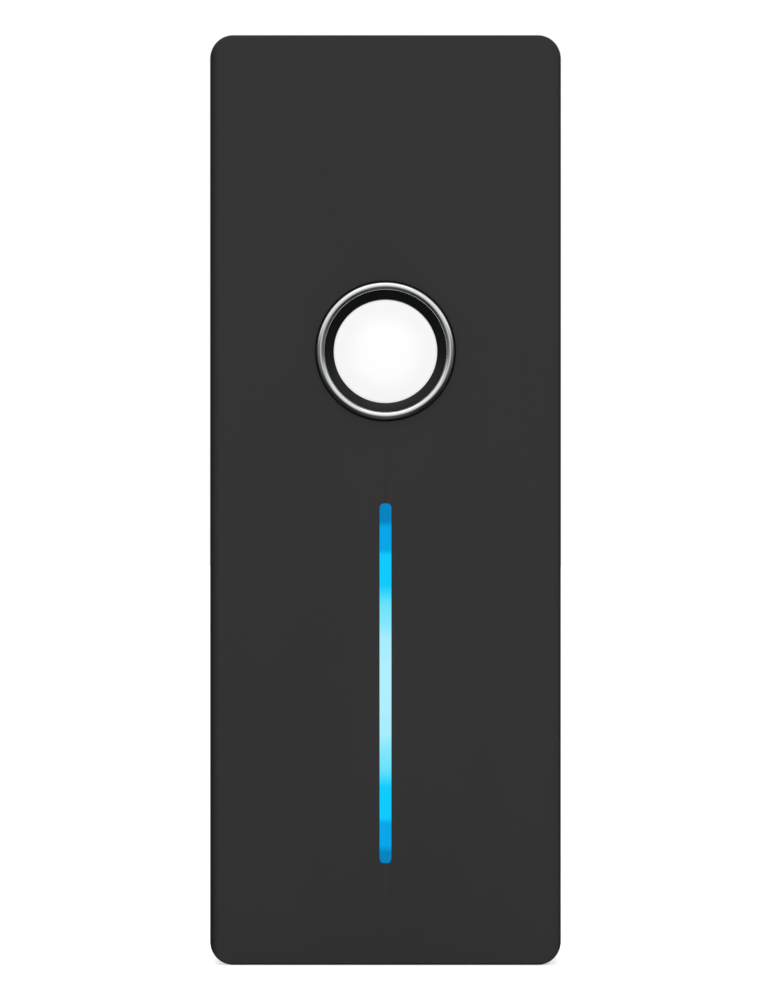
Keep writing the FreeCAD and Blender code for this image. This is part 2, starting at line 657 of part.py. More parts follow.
def lens_rear_glass():
    radius = LENS_BORE_R - SNUG
    steps = [(0, 14.7), (0, 16.7), ((1.8, 16.5), (radius, 16.0)), (radius, 15.0)]
    return lathe(steps, 0, CAMERA_Z)


def lens_holder():
    layer = (SENSOR_BOARD_FRONT, BRACKET_BACK)
    base = block((-7.5, 7.5), layer, (CAMERA_Z - 7.5, CAMERA_Z + 7.5))
    holder = fuse_all(base, [rod(6.2, (BRACKET_BACK, 16.6), 0, CAMERA_Z)])
    room = block((-4.6, 4.6), (11.0, 13.5), (CAMERA_Z - 4.6, CAMERA_Z + 4.6))
    seat = rod(LENS_BODY_R + SNUG, (14.3, 18.0), 0, CAMERA_Z)
    return cut_all(holder, [room, rod(3.6, (13.0, 15.0), 0, CAMERA_Z), seat])


def infrared_filter():
    return block((-4.4, 4.4), (13.2, 13.5), (CAMERA_Z - 4.4, CAMERA_Z + 4.4))


def image_sensor():
    layer = (SENSOR_BOARD_FRONT, SENSOR_BOARD_FRONT + 0.8)
    return block((-3.6, 3.6), layer, (CAMERA_Z - 2.8, CAMERA_Z + 2.8))


def sensor_board():
    return slab(17.0, 16.0, 1.0, (SENSOR_BOARD_BACK, SENSOR_BOARD_FRONT), 0, CAMERA_Z)


def camera_bracket():
    """Pressed-steel clamp that holds the lens holder against the housing's posts."""
    plate = slab(31.0, 13.6, 2.0, (BRACKET_BACK, FRONT_BOARD_BACK), 0, CAMERA_Z)
    through = (BRACKET_BACK - BEYOND, FRONT_BOARD_BACK + BEYOND)
    holes = [rod(M16_R + 0.1, through, x, z) for x, z in CAMERA_SCREWS]
    return cut_all(plate, holes + [rod(6.3, through, 0, CAMERA_Z)])


def camera_screws():
    head = (BRACKET_BACK - 0.9, BRACKET_BACK)
    return group([screw(M16_HEAD_R, head, M16_R, 17.6, x, z) for x, z in CAMERA_SCREWS])


def lens_light_seal():
    """Foam ring that keeps the lamps' light out of the lens."""
    return tube(CAMERA_HOLE_R - 0.1, LENS_HEAD_R + 0.1, (18.3, FASCIA_BACK), 0, CAMERA_Z)


def infrared_board():
    layer = (INFRARED_BOARD_FRONT - 0.8, INFRARED_BOARD_FRONT)
    return block((-13.0, 13.0), layer, (INFRARED_Z - 2.4, INFRARED_Z + 2.4))


def infrared_leds():
    lamps = []
    for x in (-INFRARED_X, INFRARED_X):
        foot = (INFRARED_BOARD_FRONT, INFRARED_BOARD_FRONT + 1.2)
        base = block((x - 1.6, x + 1.6), foot, (INFRARED_Z - 1.6, INFRARED_Z + 1.6))
        dome_front = foot[1] + 1.2
        dome = rod(1.3, (foot[1], dome_front), x, INFRARED_Z)
        rim = [edge for edge in dome.Edges if edge.BoundBox.YMax < 0.1 - dome_front]
        lamps.append(fuse_all(base, [dome.makeFillet(0.9, rim)]))
    return group(lamps)


# ---------------------------------------------------------------- main board
def main_board():
    board = slab(39.2, 104.0, 1.0, (BOARD_BACK, BOARD_FRONT))
    through = (BOARD_BACK - BEYOND, BOARD_FRONT + BEYOND)
    return cut_all(board, [rod(M16_R + 0.1, through, x, z) for x, z in BOARD_SCREWS])


def main_board_screws():
    head = (BOARD_BACK - 1.0, BOARD_BACK)
    return group([screw(M16_HEAD_R, head, M16_R, 14.2, x, z) for x, z in BOARD_SCREWS])


def board_connectors():
    """Plugs from the main board to the sensor board, the front board and the speaker."""
    camera = block((-4.0, 4.0), (BOARD_FRONT, SENSOR_BOARD_BACK), (CAMERA_Z - 1.5, CAMERA_Z + 1.5))
    front = block((-6.0, 6.0), (BOARD_FRONT, FRONT_BOARD_BACK), (24.0, 28.0))
    speaker = block((-6.0, -2.0), (BOARD_FRONT, 12.6), (-51.5, -48.5))
    return group([camera, front, speaker])


def processor_chips():
    processor = block((-8.0, 1.0), (BOARD_FRONT, 11.6), (3.5, 12.5))
    memory = block((3.0, 8.5), (BOARD_FRONT, 11.5), (4.0, 12.0))
    return group([processor, memory])


def processor_shield():
    """Pressed tin can over the processor."""
    half, sheet = 10.0, 0.2
    low, high = SHIELD_Z - half, SHIELD_Z + half
    can = block((-half, half), (BOARD_FRONT, SHIELD_FRONT), (low, high))
    room = (BOARD_FRONT - BEYOND, SHIELD_FRONT - sheet)
    return can.cut(block((sheet - half, half - sheet), room, (low + sheet, high - sheet)))


def heat_spreader():
    return slab(21.0, 21.0, 1.0, (SHIELD_FRONT, SHIELD_FRONT + 0.9), 0, SHIELD_Z)


def wifi_module():
    carrier_front = BOARD_FRONT + 0.8
    base = block((-18.0, -5.0), (BOARD_FRONT, carrier_front), (-22.0, -6.0))
    return fuse_all(base, [block((-17.4, -5.6), (carrier_front, carrier_front + 1.4), (-21.4, -9.0))])


def power_capacitors():
    cans = []
    x, half = 15.8, 3.3
    for z in (-5.5, -13.5, -21.5):
        foot = block((x - half, x + half), (BOARD_FRONT, BOARD_FRONT + 0.8), (z - half, z + half))
        cans.append(fuse_all(rod(3.1, (BOARD_FRONT, 16.4), x, z), [foot]))
    return group(cans)


def power_inductor():
    front, place = 13.4, (5.0, -12.0)
    core = slab(8.0, 8.0, 1.0, (BOARD_FRONT, front), *place)
    return core.cut(rod(2.2, (front - 0.5, front + BEYOND), *place))


def backup_cell():
    return slab(22.0, 20.0, 1.2, (BOARD_FRONT, 13.4), 0, -36.5)


def antenna():
    """Flexible antenna stuck to the inside of the housing wall."""
    wall = -(WIDTH / 2 - SIDE_WALL)
    return block((wall, wall + 0.15), (9.5, 17.5), (-36.0, -4.0))


# ---------------------------------------------------------------- terminals and setup button
def terminal_inserts():
    inserts = []
    for x in (-TERMINAL_X, TERMINAL_X):
        brass = rod(INSERT_R, (TERMINAL_FLOOR, BOARD_BACK), x, TERMINAL_Z)
        inserts.append(brass.cut(rod(TERMINAL_SCREW_R + SNUG, (WASHER_BACK, 9.0), x, TERMINAL_Z)))
    return group(inserts)


def terminal_washers():
    washers = []
    for x in (-TERMINAL_X, TERMINAL_X):
        plate = slab(6.8, 6.8, 0.6, (WASHER_BACK, TERMINAL_FLOOR), x, TERMINAL_Z)
        through = (WASHER_BACK - BEYOND, TERMINAL_FLOOR + BEYOND)
        washers.append(plate.cut(rod(TERMINAL_SCREW_R + 0.15, through, x, TERMINAL_Z)))
    return group(washers)


def terminal_screws():
    head = (WASHER_BACK - 1.8, WASHER_BACK)
    places = (-TERMINAL_X, TERMINAL_X)
    return group([screw(2.8, head, TERMINAL_SCREW_R, 8.8, x, TERMINAL_Z, 0.9) for x in places])


def setup_button():
    flange_back = COVER_FRONT + 0.05
    cap = rod(SETUP_R, (3.4, flange_back), SETUP_X, SETUP_Z)
    flange = rod(3.2, (flange_back, SETUP_FLANGE_FRONT), SETUP_X, SETUP_Z)
    return fuse_all(cap, [flange, rod(1.0, (SETUP_FLANGE_FRONT, SETUP_STEM_FRONT), SETUP_X, SETUP_Z)])


def setup_switch():
    x, z, half = SETUP_X, SETUP_Z, 2.25
    body = block((x - half, x + half), (7.5, BOARD_BACK), (z - half, z + half))
    room = rod(1.2, (7.8, SETUP_PLUNGER_FRONT + SETUP_TRAVEL + 0.3), x, z)
    return cut_all(body, [room, rod(0.95, (7.0, 8.0), x, z)])


def setup_plunger():
    front = SETUP_PLUNGER_FRONT
    stem = rod(0.9, (SETUP_STEM_FRONT, front), SETUP_X, SETUP_Z)
    return fuse_all(stem, [rod(1.1, (front - 0.45, front), SETUP_X, SETUP_Z)])


# ---------------------------------------------------------------- sound
def shrunk(limits, wall):
    """A range with a wall taken off each end."""
    return (limits[0] + wall, limits[1] - wall)


def speaker_frame():
    frame = block(SPEAKER_X, SOUND_DEPTH, (SOUND_FLOOR + GASKET, SPEAKER_TOP))
    below = SOUND_FLOOR
    mouth = block(shrunk(SPEAKER_X, 0.8), shrunk(SOUND_DEPTH, 0.8), (below, SOUND_FLOOR + 1.0))
    room = block(shrunk(SPEAKER_X, 1.6), SOUND_SLOT, (below, SPEAKER_TOP - 0.8))
    return cut_all(frame, [mouth, room])


def speaker_cone():
    rim = block(shrunk(SPEAKER_X, 0.9), shrunk(SOUND_DEPTH, 0.9), (SOUND_FLOOR + 0.8, SOUND_FLOOR + 1.0))
    dome = block(shrunk(SPEAKER_X, 3.4), shrunk(SOUND_SLOT, 0.8), (SOUND_FLOOR + 0.6, SOUND_FLOOR + 1.2))
    return fuse_all(rim, [dome])


def speaker_magnet():
    return block((-6.5, 6.5), shrunk(SOUND_SLOT, 0.8), (SOUND_FLOOR + 1.8, SPEAKER_TOP - 0.8))


def speaker_mesh():
    """Water-repellent cloth behind the sound slots and the microphone's hole."""
    return block((-12.5, 18.5), SOUND_DEPTH, (SIDE_WALL - HEIGHT / 2, SOUND_FLOOR))


def speaker_gasket():
    ring = block(SPEAKER_X, SOUND_DEPTH, (SOUND_FLOOR, SOUND_FLOOR + GASKET))
    through = (SOUND_FLOOR - BEYOND, SOUND_FLOOR + BEYOND)
    return ring.cut(block(shrunk(SPEAKER_X, 1.1), shrunk(SOUND_DEPTH, 0.7), through))


def speaker_leads():
    """Two short wires from the speaker up to its plug."""
    wire_r, plug_end = 0.35, -51.5
    wires = []
    for x in (-5.0, -3.0):
        low = point(x, 11.6, SPEAKER_TOP)
        wires.append(Part.makeCylinder(wire_r, plug_end - SPEAKER_TOP, low, FreeCAD.Vector(0, 0, 1)))
    return group(wires)


def microphone():
    x, half_x, half_depth = MICROPHONE_X, 1.9, 1.5
    depth = (MICROPHONE_DEPTH - half_depth, MICROPHONE_DEPTH + half_depth)
    can = block((x - half_x, x + half_x), depth, (SOUND_FLOOR, SOUND_FLOOR + 1.2))
    foot = point(x, MICROPHONE_DEPTH, SOUND_FLOOR - 0.2)
    return can.cut(Part.makeCylinder(0.4, 0.5, foot, FreeCAD.Vector(0, 0, 1)))


PARTS = [
    wall_plate, latch_slider, latch_spring,
    front_fascia, fascia_tape, front_housing, rear_cover, cover_seal, cover_screws, pressure_vent,
    button_ring, button_collar, button_cap, button_seal, button_light_well, button_leds, button_switch,
    button_plunger, light_bar_lens, light_bar_guide, light_bar_reflector, light_bar_leds, front_board,
    front_board_screws, lens_barrel, lens_front_glass, lens_rear_glass, lens_holder, infrared_filter,
    image_sensor, sensor_board, camera_bracket, camera_screws, lens_light_seal, infrared_board,
    infrared_leds, main_board, main_board_screws, board_connectors, processor_chips, processor_shield,
    heat_spreader, wifi_module, power_capacitors, power_inductor, backup_cell, antenna, terminal_inserts,
    terminal_washers, terminal_screws, setup_button, setup_switch, setup_plunger, speaker_frame,
    speaker_cone, speaker_magnet, speaker_mesh, speaker_gasket, speaker_leads, microphone,
]

os.makedirs("parts", exist_ok=True)
for make in PARTS:
    shape = make()
    shape.exportStep(f"parts/{make.__name__}.step")
    print(f"{make.__name__}: {len(shape.Solids)} solids, {shape.Volume:.1f} mm3, valid {shape.isValid()}")
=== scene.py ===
import math
from functools import partial

import bmesh
import bpy
from bpy.props import FloatProperty, FloatVectorProperty, IntProperty, PointerProperty
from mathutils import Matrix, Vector


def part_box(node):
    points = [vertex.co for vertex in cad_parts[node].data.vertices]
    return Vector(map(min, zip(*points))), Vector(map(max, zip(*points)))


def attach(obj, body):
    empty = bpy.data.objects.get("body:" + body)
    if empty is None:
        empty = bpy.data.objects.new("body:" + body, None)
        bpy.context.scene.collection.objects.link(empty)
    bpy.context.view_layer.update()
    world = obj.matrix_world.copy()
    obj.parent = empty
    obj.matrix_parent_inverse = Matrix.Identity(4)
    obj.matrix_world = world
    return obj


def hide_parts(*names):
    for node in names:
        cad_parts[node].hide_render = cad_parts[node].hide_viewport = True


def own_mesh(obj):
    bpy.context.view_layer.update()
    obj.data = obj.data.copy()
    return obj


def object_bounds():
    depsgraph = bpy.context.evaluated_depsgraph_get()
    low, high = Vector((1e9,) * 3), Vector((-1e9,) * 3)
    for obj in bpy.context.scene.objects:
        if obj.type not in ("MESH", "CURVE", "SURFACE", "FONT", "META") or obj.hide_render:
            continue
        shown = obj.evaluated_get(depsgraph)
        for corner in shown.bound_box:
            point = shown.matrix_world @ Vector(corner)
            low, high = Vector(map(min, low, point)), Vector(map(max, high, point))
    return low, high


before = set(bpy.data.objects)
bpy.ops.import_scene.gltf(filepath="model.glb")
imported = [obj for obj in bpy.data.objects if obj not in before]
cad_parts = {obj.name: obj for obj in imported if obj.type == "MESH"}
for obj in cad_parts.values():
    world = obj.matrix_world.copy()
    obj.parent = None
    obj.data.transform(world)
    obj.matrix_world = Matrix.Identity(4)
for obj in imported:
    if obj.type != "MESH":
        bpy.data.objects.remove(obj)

bl_info = {
    "name": "Video doorbell",
    "version": (1, 0, 0),
    "blender": (4, 5, 0),
    "location": "3D View > Sidebar > Doorbell",
    "description": "Finishes a slim video doorbell round its fixed CAD parts",
    "category": "Object",
}

CAD_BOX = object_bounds()
MM = 0.001
QUARTER = math.pi / 2
FLAT_TURN = math.radians(32)  # a fold sharper than this shows as an edge


def extent(node):
    """A CAD node's half width, and the depths of its back and its front, in millimetres."""
    low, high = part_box(node)
    return high.x / MM, -high.y / MM, -low.y / MM


def middle_height(node):
    """The height of a CAD node's middle, in millimetres."""
    low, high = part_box(node)
    return (low.z + high.z) / 2 / MM


PLATE_LOW, PLATE_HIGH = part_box("front_fascia")
PLATE_WIDTH = (PLATE_HIGH.x - PLATE_LOW.x) / MM
PLATE_HEIGHT = (PLATE_HIGH.z - PLATE_LOW.z) / MM
BUTTON_Z = middle_height("button_ring")
BAR_Z = middle_height("light_bar_lens")


# ---------------------------------------------------------------- what a user may change
def distance(name, description, default):
    return FloatProperty(name=name, description=description, default=default, min=0.0,
                         subtype="DISTANCE", unit="LENGTH", precision=5)


def tone(name, description, default):
    return FloatVectorProperty(name=name, description=description, default=default, size=3,
                               min=0.0, max=1.0, subtype="COLOR")


def share(name, description, default, most=1.0):
    return FloatProperty(name=name, description=description, default=default, min=0.0, max=most,
                         subtype="FACTOR")


class DoorbellSizes(bpy.types.PropertyGroup):
    """Sizes of the pieces that are made here."""
    corner: distance("Plate corner", "Outer corner radius of the front plate", 0.0031)
    rim: distance("Plate edge", "Rounding round the front of the plate", 0.0003)
    roll: distance("Side roll", "Width of the strip along each long side that rolls back", 0.002)
    drop: distance("Side drop", "How far the long sides have rolled back at the edge", 0.00035)
    hole: distance("Button hole", "Radius of the hole round the trim ring", 0.00936)
    hole_edge: distance("Hole edge", "Rounding of the plate's holes", 0.0001)
    bar_width: distance("Bar width", "Width of the light bar", 0.0015)
    bar_length: distance("Bar length", "Length of the light bar", 0.048)
    bar_corner: distance("Bar corner", "Corner radius of the light bar", 0.00053)
    bar_gap: distance("Bar gap", "Gap between the light bar and the plate", 0.00004)
    wire: distance("Spring wire", "Radius of the latch spring's wire", 0.00015)
    coil: distance("Spring coil", "Radius of the latch spring's coil", 0.0007)
    coil_turns: IntProperty(name="Spring turns", description="Turns of the latch spring", default=9,
                            min=3, max=20)
    turned_sides: IntProperty(name="Turned sides", description="Sides of a round piece", default=192,
                              min=24, max=512)


class DoorbellColours(bpy.types.PropertyGroup):
    """Colours of the finishes, and how brightly the lit pieces glow."""
    plate: tone("Front plate", "Smoked satin front", (0.0215, 0.0208, 0.0218))
    # painted shade: the darker colour the front plate is given along its edges
    plate_edge_painted_shade: tone("Front plate edge", "Where the smoked front rolls away", (0.004, 0.004, 0.0042))
    casing: tone("Casing", "Black moulded housing and cover", (0.017, 0.017, 0.018))
    mount: tone("Wall plate", "Charcoal moulded wall plate", (0.026, 0.026, 0.027))
    chrome: tone("Chrome", "Bright trim ring", (0.66, 0.67, 0.68))
    collar: tone("Collar", "Gloss black funnel round the cap", (0.0045, 0.0045, 0.0047))
    cap: tone("Cap", "Milky button cap", (0.2, 0.2, 0.2))
    glow_cap: share("Cap glow", "How brightly the cap is lit", 0.735, 10.0)
    glow_bar: share("Bar glow", "How brightly the light bar is lit", 1.0, 10.0)
    bar_middle: tone("Bar middle", "Light bar at its middle", (0.429, 0.855, 0.98))
    bar_quarter: tone("Bar inner", "Light bar a quarter of the way out", (0.391, 0.847, 0.98))
    bar_pale: tone("Bar pale", "Light bar a third of the way out", (0.225, 0.79, 0.95))
    bar_fade: tone("Bar fade", "Light bar where white gives way to blue", (0.14, 0.753, 0.965))
    bar_bright: tone("Bar bright", "Light bar just past half way out", (0.036, 0.67, 0.973))
    bar_cyan: tone("Bar cyan", "Light bar two thirds of the way out", (0.0033, 0.591, 0.973))
    bar_blue: tone("Bar blue", "Light bar near its ends", (0.0006, 0.376, 0.799))
    bar_end: tone("Bar end", "Light bar at its ends", (0.0006, 0.22, 0.521))
    bar_unlit: tone("Bar unlit", "The light bar's own plastic", (0.0004, 0.004, 0.006))


class DoorbellStudio(bpy.types.PropertyGroup):
    """Light, floor and camera."""
    overhead: share("Overhead", "Brightness of the sky overhead", 1.15, 10.0)
    below: share("Below", "Brightness reflected from below", 0.09, 10.0)
    flags: share("Side flags", "How much darker the sky is to each side at eye level", 0.72)
    floor: tone("Floor", "Pale floor", (0.86, 0.86, 0.86))
    floor_fill: share("Floor fill", "Light that the floor gives back", 0.5, 10.0)
    softbox: FloatProperty(name="Softbox", description="Power of the overhead softbox", default=1.2,
                           min=0.0, unit="POWER")
    lens: FloatProperty(name="Lens", description="Focal length", default=135.0, min=10.0,
                        subtype="DISTANCE_CAMERA")
    distance: distance("Camera distance", "From the camera to the front plate", 0.5007)


# ---------------------------------------------------------------- finishes from nodes
class Wire:
    """One output of a node. Python sums on it add their Math nodes."""

    def __init__(self, nodes, socket):
        self.nodes, self.socket = nodes, socket

    def math(self, operation, first, second=0.0):
        return self.nodes.add("Math", {"operation": operation}, {"Value": first, "Value_001": second})

    def __add__(self, other):
        return self.math("ADD", self, other)

    def __sub__(self, other):
        return self.math("SUBTRACT", self, other)

    def __rsub__(self, other):
        return self.math("SUBTRACT", other, self)

    def __mul__(self, other):
        return self.math("MULTIPLY", self, other)

    def __truediv__(self, other):
        return self.math("DIVIDE", self, other)

    def __rtruediv__(self, other):
        return self.math("DIVIDE", other, self)

    def __pow__(self, other):
        return self.math("POWER", self, other)

    def __rpow__(self, other):
        return self.math("POWER", other, self)

    def __abs__(self):
        return self.math("ABSOLUTE", self)

    __radd__, __rmul__ = __add__, __mul__

    def least(self, other):
        return self.math("MINIMUM", self, other)

    def most(self, other):
        return self.math("MAXIMUM", self, other)

    def wave(self):
        return self.math("SINE", self)

    def step(self, low, high, start=0.0, end=1.0):
        """Goes smoothly from start, at low, to end, at high."""
        return self.nodes.add("MapRange", {"interpolation_type": "SMOOTHSTEP"},
                              {"Value": self, "From Min": low, "From Max": high,
                               "To Min": start, "To Max": end})

    def parts(self):
        """The three numbers of a vector."""
        return [self.nodes.add("SeparateXYZ", {}, {"Vector": self}, axis) for axis in "XYZ"]


class Nodes:
    """A node tree, and the one way in which nodes are added to it."""

    def __init__(self, owner):
        owner.use_nodes = True
        self.tree = owner.node_tree
        self.tree.nodes.clear()

    def add(self, kind, settings=None, sockets=None, output=None):
        """Adds a node: its settings first, then its sockets' values or links. Gives one output."""
        node = self.tree.nodes.new("ShaderNode" + kind)
        for name, value in (settings or {}).items():
            if name == "stops":
                self.set_stops(node.color_ramp, value)
            else:
                setattr(node, name, value)
        inputs = {socket.identifier: socket for socket in node.inputs}
        for name, value in (sockets or {}).items():
            if isinstance(value, Wire):
                self.tree.links.new(value.socket, inputs[name])
            else:
                inputs[name].default_value = value
        outputs = [s for s in node.outputs if s.enabled and (output is None or s.identifier == output)]
        return Wire(self, outputs[0]) if outputs else None

    @staticmethod
    def set_stops(ramp, stops):
        while len(ramp.elements) < len(stops):
            ramp.elements.new(1.0)
        for element, (position, colour) in zip(ramp.elements, stops):
            element.position, element.color = position, (*colour, 1.0)

    def mix(self, factor, a, b):
        """A colour between two colours."""
        a, b = (c if isinstance(c, Wire) else (*c, 1.0) for c in (a, b))
        return self.add("Mix", {"data_type": "RGBA"},
                        {"Factor_Float": factor, "A_Color": a, "B_Color": b}, "Result_Color")


class Finish(Nodes):
    """The material of one kind of surface. Its patterns lie in the doorbell's own metres."""

    def __init__(self, name):
        self.material = bpy.data.materials.new(name)
        super().__init__(self.material)
        self.place = self.add("TexCoord", output="Object")
        self.x, self.y, self.z = self.place.parts()

    def from_button(self):
        """Distance from the button's axis."""
        height = self.z - BUTTON_Z * MM
        return (self.x * self.x + height * height) ** 0.5

    def noise(self, size, detail, stretch=(1, 1, 1), seed=0.0):
        """Cloudy noise, from 0 to 1, with features of about size metres, longer where stretch is over 1."""
        spread = [1 / (size * s) for s in stretch]
        where = self.add("VectorMath", {"operation": "MULTIPLY_ADD"},
                         {"Vector": self.place, "Vector_001": spread, "Vector_002": (seed, seed, seed)})
        return self.add("TexNoise", {}, {"Vector": where, "Scale": 1.0, "Detail": detail}, "Fac")

    def cells(self, size, seed=0.0):
        """Distance from the nearest of many scattered points."""
        where = self.add("VectorMath", {"operation": "MULTIPLY_ADD"},
                         {"Vector": self.place, "Vector_001": [1 / size] * 3,
                          "Vector_002": (seed, seed, seed)})
        return self.add("TexVoronoi", {}, {"Vector": where, "Scale": 1.0}, "Distance")

    def vary(self, colour, mask, amount=0.1):
        """The colour, a little darker where the mask is low and lighter where it is high."""
        low, high = ([max(0.0, min(1.0, c * k)) for c in colour] for k in (1 - amount, 1 + amount))
        return self.mix(mask.step(0.3, 0.7), low, high)

    def relief(self, height, depth, edge=0.0):
        """A bumped normal, over rounded-looking edges if edge is a radius."""
        sockets = {"Height": height, "Distance": depth}
        if edge:
            sockets["Normal"] = self.add("Bevel", {"samples": 4}, {"Radius": edge})
        return self.add("Bump", {}, sockets)

    def shade(self, **sockets):
        """Ends the material in one shader. An underscore in a socket's name stands for a space."""
        named = {name.replace("_", " "): value for name, value in sockets.items()}
        for name in ("Base Color", "Emission Color"):
            value = named.get(name)
            if value is not None and not isinstance(value, Wire):
                named[name] = (*value, 1.0)
        shader = self.add("BsdfPrincipled", {}, named)
        self.add("OutputMaterial", {}, {"Surface": shader})
        return self.material


def moulded(name, colour, roughness=0.5, grain=0.00022, relief=0.000006, edge=0.00018, gloss=0.5):
    """Moulded plastic: a fine spark grain, faint flow clouds and soft handling marks."""
    f = Finish(name)
    fine, broad = f.noise(grain, 3.0), f.noise(0.009, 3.0, (1, 1, 2.2), 4.0)
    rubbed = f.noise(0.004, 4.0, (1.6, 1, 1), 9.0).step(0.58, 0.78)
    rough = roughness + (broad - 0.5) * 0.1 + (fine - 0.5) * 0.16 - rubbed * 0.07
    return f.shade(Base_Color=f.vary(colour, broad * 0.7 + fine * 0.3), Roughness=rough,
                   Specular_IOR_Level=gloss, Normal=f.relief(fine, relief, edge))


def smoked_front(name, colours):
    """The smoked satin front, with painted shade: its colour darkens along the long sides and the ends,
    where the sides roll away.
    """
    f = Finish(name)
    fine, broad = f.noise(0.00016, 2.0), f.noise(0.016, 2.0, (1, 1, 1.7), 2.0)
    left, right = f.x + PLATE_WIDTH / 2 * MM, PLATE_WIDTH / 2 * MM - f.x
    # painted shade: strips along the long sides and the ends darken towards the plate's edge colour
    side = left.step(-0.0002, 0.0013).least(right.step(-0.0002, 0.0006))
    end = (PLATE_HEIGHT / 2 * MM - abs(f.z)).step(-0.0001, 0.0004)
    body = f.vary(colours.plate, broad, 0.03)
    colour = f.mix(side.least(end), colours.plate_edge_painted_shade, body)
    rough = 0.43 + (broad - 0.5) * 0.04 + (fine - 0.5) * 0.06
    return f.shade(Base_Color=colour, Roughness=rough, Specular_IOR_Level=0.2,
                   Normal=f.relief(fine, 0.0000015))


def polished_chrome(name, colour):
    """Chrome plate on a turned ring: fine lines round it, a faint haze and fingermarks."""
    f = Finish(name)
    lines = f.add("TexNoise", {"noise_dimensions": "1D"},
                  {"W": f.from_button() * 26000, "Scale": 1.0, "Detail": 3.0}, "Fac")
    haze = f.noise(0.0022, 4.0, seed=3.0)
    rough = 0.07 + haze.step(0.4, 0.75) * 0.06 + (lines - 0.5) * 0.05
    return f.shade(Base_Color=f.vary(colour, haze, 0.04), Roughness=rough, Metallic=1.0,
                   Normal=f.relief(lines, 0.0000006))


def sheet_metal(name, colour, roughness, along=(14, 1, 1)):
    """Rolled or drawn metal with fine lines along it and a cloudy, slightly dulled skin."""
    f = Finish(name)
    lines, cloud = f.noise(0.00009, 3.0, along), f.noise(0.0035, 4.0, seed=5.0)
    rough = roughness + (lines - 0.5) * 0.22 + (cloud - 0.5) * 0.14
    return f.shade(Base_Color=f.vary(colour, cloud * 0.6 + lines * 0.4, 0.12), Roughness=rough,
                   Metallic=1.0, Normal=f.relief(lines, 0.000003, 0.00008))


def rubber(name, colour, roughness=0.62, clear=0.0):
    """Silicone or foam-backed film: matt, a little dusty, with a soft sheen."""
    f = Finish(name)
    fine, dust = f.noise(0.00009, 3.0), f.noise(0.0016, 5.0, seed=7.0).step(0.55, 0.8)
    light = [min(1.0, c * 1.5 + 0.02) for c in colour]
    return f.shade(Base_Color=f.mix(dust * 0.5, colour, light), Sheen_Weight=0.12,
                   Roughness=roughness + (fine - 0.5) * 0.15, Subsurface_Weight=clear,
                   Subsurface_Scale=0.0012, Normal=f.relief(fine, 0.000004))


def foam(name, colour):
    """Open-celled foam, with painted shade in the hollow of each pore."""
    f = Finish(name)
    cell = f.cells(0.00035)
    # painted shade: the colour darkens towards the middle of each pore, where the bump sinks
    return f.shade(Base_Color=f.mix(cell.step(0.1, 0.6), [c * 0.25 for c in colour], colour),
                   Roughness=0.9 - cell * 0.1, Normal=f.relief(cell, 0.00006))


def woven(name, colour, across, up, pitch):
    """Fine cloth: threads a pitch apart in two directions, over and under each other, with painted shade
    between the threads and on each thread where it passes under.
    """
    f = Finish(name)
    turn = math.pi / pitch
    warp, weft = (getattr(f, across) * turn).wave(), (getattr(f, up) * turn).wave()
    over = abs(warp).most(abs(weft))
    crossing = (warp * weft).step(-0.4, 0.4)
    fuzz = f.noise(0.00007, 3.0)
    # painted shade: darker between the threads and where a thread passes under the other
    return f.shade(Base_Color=f.mix(over * 0.7 + crossing * 0.3, [c * 0.3 for c in colour], colour),
                   Roughness=0.75 + (fuzz - 0.5) * 0.2, Sheen_Weight=0.3,
                   Normal=f.relief(over + crossing * 0.5 + fuzz * 0.3, 0.00004))


def circuit_board(name, mask):
    """Solder mask over copper traces, with plated vias."""
    f = Finish(name)
    flat = f.add("CombineXYZ", {}, {"X": f.x, "Y": f.z})
    runs = f.add("TexBrick", {"offset": 0.37, "offset_frequency": 3, "squash": 0.6},
                 {"Vector": flat, "Scale": 180.0, "Mortar Size": 0.022, "Brick Width": 0.9,
                  "Row Height": 0.16}, "Fac")
    area = f.noise(0.006, 1.0, seed=6.0).step(0.46, 0.5)
    via = f.cells(0.0021, seed=1.0).step(0.16, 0.11)
    trace = runs * area
    light = [min(1.0, c * 1.9) for c in mask]
    colour = f.mix(via, f.mix(trace, mask, light), (0.62, 0.5, 0.26))
    weave = f.noise(0.0004, 1.0, (1, 1, 3))
    return f.shade(Base_Color=colour, Roughness=0.33 + weave * 0.12, Metallic=via * 0.8,
                   Normal=f.relief(trace * 0.6 + via * 0.4 + weave * 0.15, 0.00003))


def chip_resin(name, colour, leads):
    """Moulded chip packages: matt resin full of fine filler, with specks of the leads' colour."""
    f = Finish(name)
    fine, broad = f.noise(0.00006, 4.0), f.noise(0.002, 3.0, seed=2.0)
    speck = f.cells(0.00018).step(0.16, 0.08) * 0.35
    return f.shade(Base_Color=f.mix(speck, f.vary(colour, broad, 0.14), leads),
                   Roughness=0.58 + (fine - 0.5) * 0.2, Normal=f.relief(fine, 0.000006, 0.00008))


def shrink_wrap(name, colour, band):
    """Shrink film with long soft creases, bare at both ends of the cell."""
    f = Finish(name)
    crease = f.noise(0.0011, 2.0, (5, 1, 1), 8.0)
    low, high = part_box("backup_cell")
    end, fade = 0.0012, 0.0003
    middle, bare = (low.z + high.z) / 2, (high.z - low.z) / 2 - end
    stripe = abs(f.z - middle).step(bare, bare + fade)
    return f.shade(Base_Color=f.mix(stripe, f.vary(colour, crease, 0.1), band),
                   Roughness=0.2 + crease * 0.16, Coat_Weight=0.5, Coat_Roughness=0.12,
                   Normal=f.relief(crease, 0.00005))


